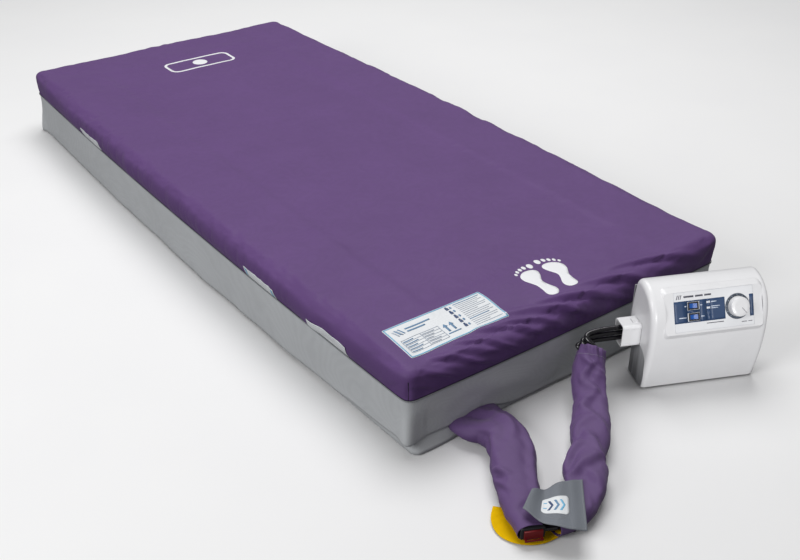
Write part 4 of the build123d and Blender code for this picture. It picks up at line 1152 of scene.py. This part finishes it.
def build_cells():
    """Three groups of air cells, each cell slightly different in its creases."""
    cell_points, cell_faces = cell_mesh()
    groups = {"alternating_cells_a": range(0, FIRST_STATIC_CELL, 2),
              "alternating_cells_b": range(1, FIRST_STATIC_CELL, 2),
              "static_head_cells": range(FIRST_STATIC_CELL, CELL_COUNT)}
    for name, members in groups.items():
        all_points, all_faces, welds = [], [], []
        for index in members:
            middle = FIRST_CELL_Y + index * CELL_PITCH
            points = cell_points.copy()
            wrinkle = 0.9 * ripple(points + index * 300, 46, 40 + index)
            points[:, 1] += np.sign(points[:, 1]) * np.minimum(wrinkle, 0.2)
            z = points[:, 2]
            points[:, 2] += np.where(np.abs(z) > 50, np.sign(z) * np.minimum(wrinkle, 0.3), 0)
            start = len(cell_points) * len(all_points)
            all_points.append(points + (8.0, middle, 102.0))
            all_faces += [tuple(start + i for i in face) for face in cell_faces]
            for x in (-403.0, 419.0):
                for low in [20 + k * 6.8 for k in range(24)]:
                    welds.append(((x, middle, low), (x, middle, low + 4.0)))
        piece = new_piece(name.replace("_cells", "_air_cells"), np.vstack(all_points), all_faces,
                          "cell_nylon", "mattress")
        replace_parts(piece, name)
        stitch_row(name + "_end_welds", welds, "cell_nylon", "mattress", 0.8)


# piece, CAD node, material, x0, x1, y0, y1, height of the top, thickness
PADS = (
    ("felt_pad", "base_pad", "grey_felt", -412, 430, -938, 980, 7.9, 5.8),
    ("stud_sheet", "cell_sheet", "sheet_fabric", -408, 424, -938, 976, 9.5, 0.7),
)


def build_pads():
    """Felt pad and the stud sheet under the cells, with softly waved edges."""
    for name, node, material, x0, x1, y0, y1, top, thickness in PADS:
        outline = round_box((x0 + x1) / 2, (y0 + y1) / 2, x1 - x0 - 2, y1 - y0 - 2, 30)
        plan, faces = filled(densify(outline, 25), 45)
        plan = np.array(plan)
        sag = np.minimum(0.0, 0.25 * ripple(plan, 200, 51))
        piece = new_piece(name, level(plan, top + sag), faces, material, "mattress", thickness=thickness)
        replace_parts(piece, node)


# ------------------------------------------------------------------ hose sleeves

def through(stations, count):
    """Catmull-Rom curve through rows of numbers, evenly spread by its first three columns."""
    rows = np.array(stations, float)
    padded = np.vstack([2 * rows[0] - rows[1], rows, 2 * rows[-1] - rows[-2]])
    fine = []
    for i in range(len(rows) - 1):
        fine += [catmull(padded[i:i + 4], t) for t in np.linspace(0, 1, 24, endpoint=False)]
    fine = np.array(fine + [rows[-1]])
    arc = running_length(fine[:, :3])
    wanted = np.linspace(0, arc[-1], count)
    return np.column_stack([np.interp(wanted, arc, column) for column in fine.T]), wanted


def sides_of(centre):
    """Unit directions along a path and level across it."""
    along = unit_rows(np.gradient(centre, axis=0))
    return along, unit_rows(np.cross(along, (0, 0, 1.0)))


SLEEVE_RINGS, SLEEVE_SIDES = 150, 72
SLEEVE_FLOOR = 1.6


def sleeve_relief(place, left, half_sizes, turns, folds, seed, seam_turn, gather_end):
    """How far one ring of a sleeve stands out: folds, small waves, seam and gathered end."""
    a, b = half_sizes
    spot = np.full(SLEEVE_SIDES, place)
    relief = np.zeros(SLEEVE_SIDES)
    for shift in (-2 * math.pi, 0, 2 * math.pi):
        girth = (turns + shift) * (a + b) / 2
        for t0, g0, t1, g1, width, height, bend in folds:
            relief += crease(spot, girth, (t0, g0), (t1, g1), width, height, bend)
    grid = np.column_stack([spot, np.cos(turns) * a, np.sin(turns) * b])
    relief += 1.6 * ripple(grid, 55, seed) + 1.0 * ripple(grid, 24, seed + 1)
    relief *= min(1.0, place / 25, left / 18 + 0.3)
    apart = (turns - seam_turn + math.pi) % (2 * math.pi) - math.pi
    distance = np.abs(apart) * (a + b) / 2
    relief += 1.0 * (distance < 4.5) - 0.9 * np.exp(-((distance - 5.2) / 1.3) ** 2)
    if gather_end:
        relief += math.exp(-(left / 26) ** 2) * 2.8 * np.cos(turns * 9 + 0.6 * np.sin(turns * 2))
    return relief


def sleeve(stations, folds, seed, seam_turn, gather_end):
    """Rings of a soft fabric tube; stations hold x, y, z, half width, half height and roll in degrees."""
    path, arc = through(stations, SLEEVE_RINGS)
    along, side = sides_of(path[:, :3])
    up = np.cross(side, along)
    turns = 2 * np.pi * np.arange(SLEEVE_SIDES) / SLEEVE_SIDES
    c, s = np.cos(turns), np.sin(turns)
    rings = []
    for r in range(SLEEVE_RINGS):
        a, b, roll = path[r, 3], path[r, 4], math.radians(path[r, 5])
        relief = sleeve_relief(arc[r], arc[-1] - arc[r], (a, b), turns, folds, seed, seam_turn, gather_end)
        wide = rounded(c, a, 0.85) + relief * c
        high = rounded(s, b, 0.85) + relief * s
        across = wide * math.cos(roll) - high * math.sin(roll)
        above = wide * math.sin(roll) + high * math.cos(roll)
        ring = path[r, :3] + across[:, None] * side[r] + above[:, None] * up[r]
        z = ring[:, 2]
        ring[:, 2] = np.where(z < SLEEVE_FLOOR + 3, SLEEVE_FLOOR + 3 * np.exp((z - SLEEVE_FLOOR - 3) / 6), z)
        rings.append(ring)
    return np.array(rings), turns


def build_sleeve(name, node, grid, in_gap=None):
    """One sleeve as a fabric wall, without the faces whose middle lies in a gap."""
    points = grid.reshape(-1, 3)
    faces = grid_faces(SLEEVE_RINGS, SLEEVE_SIDES, close_columns=True)
    if in_gap:
        faces = [face for face in faces if not in_gap(points[list(face)].mean(axis=0))]
    piece = new_piece(name, points, faces, "sleeve_fabric", "mattress", thickness=1.1)
    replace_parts(piece, node)


# x, y, z, half width, half height, roll in degrees
MATTRESS_STATIONS = [
    (-281, -972, 22, 52, 15, 0), (-285, -1000, 22, 60, 16, 0), (-288, -1035, 25, 60, 20, 4),
    (-284, -1070, 31, 50, 28, 6), (-286, -1104, 34, 46, 31, 6), (-304, -1140, 33, 46, 30, 4),
    (-328, -1172, 32, 45, 29, 0), (-350, -1203, 30, 41, 28, -4), (-370, -1234, 29, 38, 26, -4),
    (-386, -1262, 27, 34, 25, 0), (-397, -1286, 26, 30, 23, 0), (-405, -1304, 25, 28, 21, 0),
    (-409, -1313, 24, 27, 20, 0),
]
PUMP_STATIONS = [
    (-366, -1318, 25, 28, 21, 0), (-328, -1322, 25, 32, 22, 0), (-300, -1317, 25, 35, 23, 2),
    (-272, -1302, 27, 38, 24, 6), (-248, -1286, 29, 38, 27, 6), (-226, -1262, 31, 44, 28, 0),
    (-204, -1240, 31, 37, 30, -4), (-180, -1226, 30, 34, 29, -6), (-150, -1200, 30, 38, 30, 0),
    (-122, -1174, 32, 40, 30, 6), (-98, -1150, 36, 35, 28, 10), (-74, -1122, 48, 34, 27, 14),
    (-54, -1096, 64, 34, 26, 18), (-36, -1078, 82, 33, 25, 26), (-20, -1066, 100, 29, 22, 34),
    (-10, -1061, 110, 27, 21, 38),
]
# start and end of each fold as distance along and round the sleeve, then width, height, bend
MATTRESS_FOLDS = [
    (40, 70, 175, 55, 7, 5.0, 8), (60, 30, 300, 46, 9, 4.0, -10), (120, 88, 330, 70, 8, 4.0, 8),
    (150, 20, 260, 8, 8, 4.5, 4), (235, 14, 262, 48, 6, 6.0, 4), (255, 8, 300, 40, 6, 4.0, 4),
    (70, 96, 150, 118, 8, 4.0, 4), (20, 50, 95, 84, 7, 4.0, 6),
]
PUMP_FOLDS = [
    (60, 20, 130, 70, 8, 5.0, 6), (110, 84, 190, 30, 8, 6.0, 8), (150, 96, 215, 60, 7, 6.0, 6),
    (185, 10, 262, 66, 9, 6.0, 8), (225, 92, 300, 48, 8, 5.0, 6), (262, 22, 345, 62, 8, 6.0, 10),
    (300, 70, 382, 30, 8, 4.0, 6), (352, 16, 420, 58, 8, 4.5, 6), (392, 58, 450, 22, 6, 5.0, 5),
    (420, 10, 462, 48, 6, 5.0, 4), (330, 8, 430, 4, 8, 4.0, 4), (90, 60, 170, 96, 8, 4.0, 6),
]


def under_tag(grid):
    """Presses a sleeve's top down where the tag lies over it."""
    points = grid.reshape(-1, 3)
    x, y, z = points.T
    inside = smooth_step(-y, 1262, 1280) * smooth_step(x, -418, -400) * (1 - smooth_step(x, -254, -236))
    limit, ease = 40.0, 6.0
    pressed = np.where(z > limit, limit + ease * (1 - np.exp(-(z - limit) / ease)), z)
    points[:, 2] = z + (pressed - z) * inside
    return points.reshape(grid.shape)


def in_slit(point):
    """True in the slit at the end of the mattress's sleeve that the plug shows through."""
    dx, dy = point[0] - COUPLING_AT[0], point[1] - COUPLING_AT[1]
    along = dx * math.cos(COUPLING_YAW) + dy * math.sin(COUPLING_YAW)
    return point[1] < -1270 and along > 18 and 8 < point[2] < 44


def build_sleeves():
    """The two purple sleeves, a slit beside the coupling, and their seam and hem stitches."""
    for name, node, stations, folds, seed, seam, gathered, in_gap in (
        ("mattress_sleeve", "hose_sleeve_mattress", MATTRESS_STATIONS, MATTRESS_FOLDS, 61, 200, False,
         in_slit),
        ("pump_sleeve", "hose_sleeve_pump", PUMP_STATIONS, PUMP_FOLDS, 71, 165, True, None),
    ):
        grid, turns = sleeve(stations, folds, seed, math.radians(seam), gathered)
        grid = under_tag(grid)
        build_sleeve(name, node, grid, in_gap)
        seam_threads(f"{name}_stitches", grid, turns, math.radians(seam))
    hem = grid[-7]
    outward = unit_rows(hem - hem.mean(axis=0))
    stitches = stitches_along(hem + outward * 0.3, 3.4, closed=True)
    stitch_row("pump_sleeve_hem", stitches, "thread", "mattress", 0.35)


def seam_threads(name, grid, turns, seam_turn):
    """Two rows of stitches along a sleeve's seam."""
    segments = []
    for gap in (-0.075, 0.075):
        column = int(np.argmin(np.abs(turns - (seam_turn + gap) % (2 * math.pi))))
        line = grid[:, column]
        outward = unit_rows(line - grid.mean(axis=1))
        segments += stitches_along(line + outward * 0.3, 4.0)
    stitch_row(name, segments, "purple_thread", "mattress", 0.3)


# ------------------------------------------------------------------ CPR tag and strap

TAG_CORNERS = np.array(((-366.0, -1262.0), (-262.0, -1288.0), (-412.0, -1288.0), (-348.0, -1386.0)))
TAG_SAG = np.array((-10.0, -16.0))
TAG_Z = 56


def hump(value, middle, width):
    """Bell of height 1."""
    return math.exp(-((value - middle) / width) ** 2)


def tag_point(u, v):
    """Point of the tag's sheet; u runs 0 to 1 from its curled left edge, v 0 to 1 from its top edge."""
    top_left, top_right, tip, bottom_right = TAG_CORNERS
    left = top_left * (1 - v) + tip * v
    right = top_right * (1 - v) + bottom_right * v
    x, y = left * (1 - u) + right * u + TAG_SAG * math.sin(math.pi * u) * v
    z = TAG_Z + 9 * hump(u, 0.02, 0.16) - 5.0 * hump(u, 0.27, 0.12) * (1 - 0.6 * v)
    z += 4.5 * hump(u, 0.52, 0.16) + 1.5 * math.sin(6 * v + 3 * u) * 0.5 - 6 * smooth_step(u, 0.75, 1.0)
    return np.array((x, y, z))


def on_tag(u, v, lift):
    """Point lifted off the tag's upper face; u and v in percent."""
    p = tag_point(u / 100, v / 100)
    q = tag_point(u / 100 + 0.01, v / 100)
    r = tag_point(u / 100, v / 100 + 0.01)
    normal = np.cross(q - p, r - p)
    normal /= np.linalg.norm(normal)
    return tuple(p + normal * math.copysign(lift, normal[2]))


def tag_stitches():
    """A curved row below the label, and rows along the right and the lower edge."""
    def arc_point(u, k):
        return on_tag(u, 76 + 8 * math.sin(math.pi * k / 40), 0.2)
    segments = []
    for k in range(40):
        u = 30 + 34 * k / 40
        segments.append((arc_point(u, k), arc_point(u + 0.5, k + STITCH_SHARE)))
    for k in range(70):
        v = 2 + 96 * k / 70
        segments.append((on_tag(96.5, v, 0.2), on_tag(96.5, v + 0.8, 0.2)))
        u, u_end = [2 + 94 * step / 70 for step in (k, k + STITCH_SHARE)]
        segments.append((on_tag(u, 96.5, 0.2), on_tag(u_end, 96.5, 0.2)))
    return segments


def build_tag():
    """Grey tag over the sleeves: waved sheet, curled left edge, stitches and a white label with marks."""
    rows, columns = 40, 56
    points = [tag_point(c / (columns - 1), r / (rows - 1)) for r in range(rows) for c in range(columns)]
    sheet = new_piece("cpr_tag_sheet", points, grid_faces(rows, columns), "tag_fabric", "cpr_release",
                      thickness=1.1)
    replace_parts(sheet, "cpr_tag")
    label = Print("cpr_tag_label", on_tag, "cpr_release", "white_label")
    label.add(round_box(47, 52, 46, 40, 7), "white_label", 0.7, 4)
    label.build(0.5)
    marks = Print("cpr_tag_marks", on_tag, "cpr_release", "white_label")
    lift = 0.85
    for k, tone in enumerate(("label_navy", "label_steel", "label_blue")):
        x = 34 + 10 * k
        marks.add([(x, 40), (x + 4, 40), (x + 10, 52), (x + 4, 64), (x, 64), (x + 6, 52)], tone, lift, 3)
    marks.boxes(((27, 33, 43, 45.5), (27, 33, 57, 59.5)), "label_blue", lift, 3)
    marks.build(0.1)
    stitch_row("cpr_tag_stitches", tag_stitches(), "thread", "cpr_release", 0.28)


# x, y, z, half width
STRAP_PATH = [
    (-398, -1226, 8, 20), (-417, -1246, 4, 22), (-424, -1270, 2.4, 23), (-414, -1294, 2.2, 23),
    (-394, -1310, 2.2, 21), (-370, -1317, 2.6, 19), (-350, -1322, 6, 17), (-337, -1332, 10, 16),
    (-328, -1344, 12, 13),
]
STRAP_ROWS, STRAP_COLUMNS = 80, 15
TAB_ROW = 66


def strap_rows():
    """Points across the strap, row by row, with raised and slightly curling edges."""
    path, arc = through(STRAP_PATH, STRAP_ROWS)
    _, across = sides_of(path[:, :3])
    c = np.linspace(-1, 1, STRAP_COLUMNS)
    rows = []
    for place, side, length in zip(path, across, arc):
        row = place[:3] + side * (place[3] * c)[:, None]
        row[:, 2] += np.maximum(0.0, 1.2 * c * c + 0.6 * math.sin(length * 0.09) * c)
        rows.append(row)
    rows = np.array(rows)
    rows[:, :, 2] = np.maximum(rows[:, :, 2], 1.7)
    return rows


def build_strap():
    """Yellow webbing that loops under the sleeve mouths and ends in a small dark tab."""
    rows = strap_rows()
    webbing, tab = rows[:TAB_ROW + 1], rows[TAB_ROW:]
    strap = new_piece("cpr_webbing", webbing.reshape(-1, 3), grid_faces(len(webbing), STRAP_COLUMNS),
                      "yellow_webbing", "cpr_release", thickness=1.3)
    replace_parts(strap, "cpr_strap")
    new_piece("cpr_webbing_tab", tab.reshape(-1, 3), grid_faces(len(tab), STRAP_COLUMNS), "zip_nylon",
              "cpr_release", thickness=1.6)
    segments = []
    for column in (1, STRAP_COLUMNS - 2):
        segments += stitches_along(rows[:TAB_ROW, column] + (0, 0, 0.2), 3.6)
    stitch_row("cpr_webbing_stitches", segments, "yellow_webbing", "cpr_release", 0.3)


# ------------------------------------------------------------------ pump panel print

def pump_place(x, y, z):
    """Point in the pump's own frame, moved to the mattress frame."""
    c, s = math.cos(PUMP_YAW), math.sin(PUMP_YAW)
    return (PUMP_AT[0] + x * c - y * s, PUMP_AT[1] + x * s + y * c, PUMP_AT[2] + z)


def panel_place(u, v, lift):
    """Point on the control panel: u to the right, v up the slope, lift out of the face."""
    x, y, z = PANEL_CENTRE
    return pump_place(x + u, y + v * PANEL_UP[1] + lift * PANEL_OUT[1],
                      z + v * PANEL_UP[2] + lift * PANEL_OUT[2])


# rectangles on the panel, each x0, x1, y0, y1: the navy band round its windows, the border, short bars
BAND = (
    (-88.5, -58.8, -23, 23), (-32.2, -16.2, -23, 23), (-58.8, -32.2, 20.2, 23), (-58.8, -32.2, -3.1, 2.8),
    (-58.8, -32.2, -23, -20.4), (-16.2, -8.4, 18.2, 23), (-16.2, -8.4, 6.4, 13.8), (-16.2, -8.4, -23, 2.0),
    (-8.4, 24.4, -23, 23), (79.4, 88.5, -23, 23),
)
BORDER = ((-88.2, 88.2, 41, 41.5), (-88.2, 88.2, -41.5, -41), (-88.2, -87.7, -41, 41), (87.7, 88.2, -41, 41))
TITLE_BARS = ((-66, -44, 29.6, 33.4), (-40.5, -23.5, 29.6, 33.4), (-20, -5, 29.6, 33.4))
BAND_BARS = (
    (-65, -61, 10.5, 12.5), (-30, -25.5, 10.5, 12.5), (-78, -62, -13, -11), (-29.5, -22, -13, -11),
    (-6, 6, 15, 17), (-6, 13, 5.5, 7.2), (-6, 9, 1.8, 3.4),
)
FOOT_BARS = ((-18, 20, -28.8, -27.2), (60, 72, -34, -32.6), (75, 84, -34, -32.6))
PANEL_LIFT = 0.66
SCALE_RADIUS = 23.2


def build_panel_print():
    """Printed band, border, bars in place of words and the dial's scale."""
    ink = Print("panel_print", panel_place, "pump", "overlay_film")
    ink.boxes(BAND, "panel_navy", PANEL_LIFT, 12)
    ink.boxes(BORDER, "panel_line", PANEL_LIFT, 12)
    for k in range(3):
        x = -83 + 4 * k
        ink.add([(x, 27), (x + 1.8, 27), (x + 4.8, 36), (x + 3, 36)], "panel_ink", PANEL_LIFT, 4)
    ink.boxes(TITLE_BARS, "panel_ink", PANEL_LIFT)
    ink.boxes(BAND_BARS, "panel_mark", PANEL_LIFT + 0.12)
    ink.boxes(FOOT_BARS, "panel_ink", PANEL_LIFT)
    ink.build(0.1)
    scale = Print("dial_scale", panel_place, "pump", "black_plastic")
    for k in range(11):
        length = 2.6 if k % 5 == 0 else 1.8
        scale.add(dial_bar(-140 + 28 * k, 0.45, SCALE_RADIUS, SCALE_RADIUS + length), "panel_mark", 1.9, 2)
    scale.build(0.1)
    pointer = Print("dial_pointer", panel_place, "pressure_dial", "white_plastic")
    pointer.add(dial_bar(140, 0.5, 2.0, 17.5), "panel_ink", POINTER_TOP, 2)
    pointer.build(0.1)


def dial_bar(degrees, half, near, far):
    """Bar that points out from the dial's middle, turned clockwise from straight up the panel."""
    turn = math.radians(degrees)
    c, s = math.cos(turn), math.sin(turn)
    return [(DIAL_AT[0] + out * s + across * c, DIAL_AT[1] + out * c - across * s)
            for across, out in ((-half, near), (half, near), (half, far), (-half, far))]


NODES_BY_MATERIAL = {
    "steel": ("zip_slider", "zip_pull", "left_hanger_hook", "right_hanger_hook", "hook_pivot_pins",
              "case_screws", "swing_arm"),
    "clear_plastic": ("cell_connectors",),
    "clear_hose": ("internal_tubes",),
    "black_hose": ("feed_line_a", "feed_line_b", "feed_line_static", "pump_hose_a", "pump_hose_b",
                   "pump_hose_static"),
    "black_plastic": ("cpr_coupling", "pressure_regulator", "switch_frames", "valve_rotor", "outlet_socket",
                      "mains_inlet", "fuse_drawer"),
    "white_plastic": ("cell_press_studs", "pump_connector", "release_latch", "front_case", "pressure_dial",
                      "valve_block"),
    "red_plastic": ("cpr_plug",),
    "blue_plastic": ("power_rocker", "mode_rocker"),
    "rear_grey": ("rear_case", "back_panel"),
    "bezel_grey": ("dial_bezel",),
    "overlay_film": ("panel_overlay",),
    "panel_mark": ("indicator_lights",),
    "pale_rubber": ("rubber_feet",),
    "black_rubber": ("diaphragms",),
    "board_green": ("circuit_board",),
    "cast_aluminium": ("compressor_body", "valve_motor"),
    "iron_core": ("compressor_coils",),
}


def dress_nodes():
    """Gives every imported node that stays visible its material."""
    for material, nodes in NODES_BY_MATERIAL.items():
        for node in nodes:
            mesh = frame["nodes"][node].data
            mesh.materials.clear()
            mesh.materials.append(MATERIALS[material])


# ------------------------------------------------------------------ stage

def lamp(name, place, target, size, power):
    """Soft square light aimed at a point, in metres."""
    data = bpy.data.lights.new(name, "AREA")
    data.shape = "SQUARE"
    data.size = size
    data.energy = power
    light = bpy.data.objects.new(name, data)
    bpy.context.scene.collection.objects.link(light)
    light.location = place
    aim(light, Vector(target) - Vector(place))
    return light


def aim(thing, direction):
    """Turns a light or a camera to look along a direction."""
    thing.rotation_mode = "QUATERNION"
    thing.rotation_quaternion = Vector(direction).to_track_quat("-Z", "Y")


def on_pump(piece):
    """True for a piece whose middle lies where the pump stands."""
    corners = [piece.matrix_world @ Vector(corner) for corner in piece.bound_box]
    middle = sum(corners, Vector()) / len(corners)
    return middle.x > 0.02 and middle.y < -1.01


def build_floor():
    """Wide floor that looks pale to the camera but throws back only a soft grey light."""
    n = Nodes("floor_paint")
    tone = n.mix(n.noise(3.0), linear(246, 246, 247), linear(250, 250, 250))
    path = n.add("ShaderNodeLightPath")
    tone = n.mix(path.outputs["Is Camera Ray"], linear(120, 120, 122), tone)
    MATERIALS["floor_paint"] = n.finish(tone, n.ramp(n.noise(40), 0.8, 0.9), n.noise(60), 0.02)
    corners = [(x * FLOOR_REACH, y * FLOOR_REACH, 0) for x, y in ((-1, -1), (1, -1), (1, 1), (-1, 1))]
    mesh_object("floor", corners, [(0, 1, 2, 3)], ["floor_paint"])


def build_world():
    """White surroundings, at full strength only where the camera sees them."""
    world = bpy.data.worlds.new("surroundings")
    bpy.context.scene.world = world
    world.use_nodes = True
    tree = world.node_tree
    background = tree.nodes["Background"]
    background.inputs["Color"].default_value = (1, 1, 1, 1)
    ray = tree.nodes.new("ShaderNodeLightPath")
    dim = tree.nodes.new("ShaderNodeMapRange")
    tree.links.new(ray.outputs["Is Camera Ray"], dim.inputs["Value"])
    dim.inputs["To Min"].default_value = 0.22
    dim.inputs["To Max"].default_value = 1.0
    tree.links.new(dim.outputs["Result"], background.inputs["Strength"])


def build_lights():
    """Soft key and top light, and a fill that lights only the pump's pieces."""
    lamp("key_light", (-4.6, -0.9, 2.6), (0, -0.2, 0.1), 2.2, 102)
    lamp("top_light", (0.9, 0.8, 4.6), (0, 0, 0), 3.4, 158)
    fill = lamp("pump_fill", (-1.4, -4.4, 0.7), (0.2, -1.0, 0.1), 1.4, 78)
    lit = bpy.data.collections.new("pump_lit")
    for piece in list(bpy.context.scene.objects):
        if piece.type == "MESH" and on_pump(piece):
            lit.objects.link(piece)
    fill.light_linking.receiver_collection = lit


def build_camera():
    """Camera at the foot end's left, above the mattress."""
    camera = bpy.data.objects.new("camera", bpy.data.cameras.new("camera"))
    bpy.context.scene.collection.objects.link(camera)
    camera.data.lens = 46.04
    camera.data.sensor_width = 36.0
    camera.location = (-1.3724, -2.2242, 1.3539)
    aim(camera, (0.50565, 0.68438, -0.52530))
    bpy.context.scene.camera = camera
    bpy.context.scene.view_settings.view_transform = "Standard"


cover_skin = build_cover()
for build in (build_motifs, build_label, build_tags, build_corner_seam_shade):
    build(cover_skin)
for build in (build_flap, build_binding, build_base, build_zip, build_cells, build_pads, build_sleeves,
              build_tag, build_strap, build_panel_print, dress_nodes, build_floor, build_world, build_lights,
              build_camera):
    build()
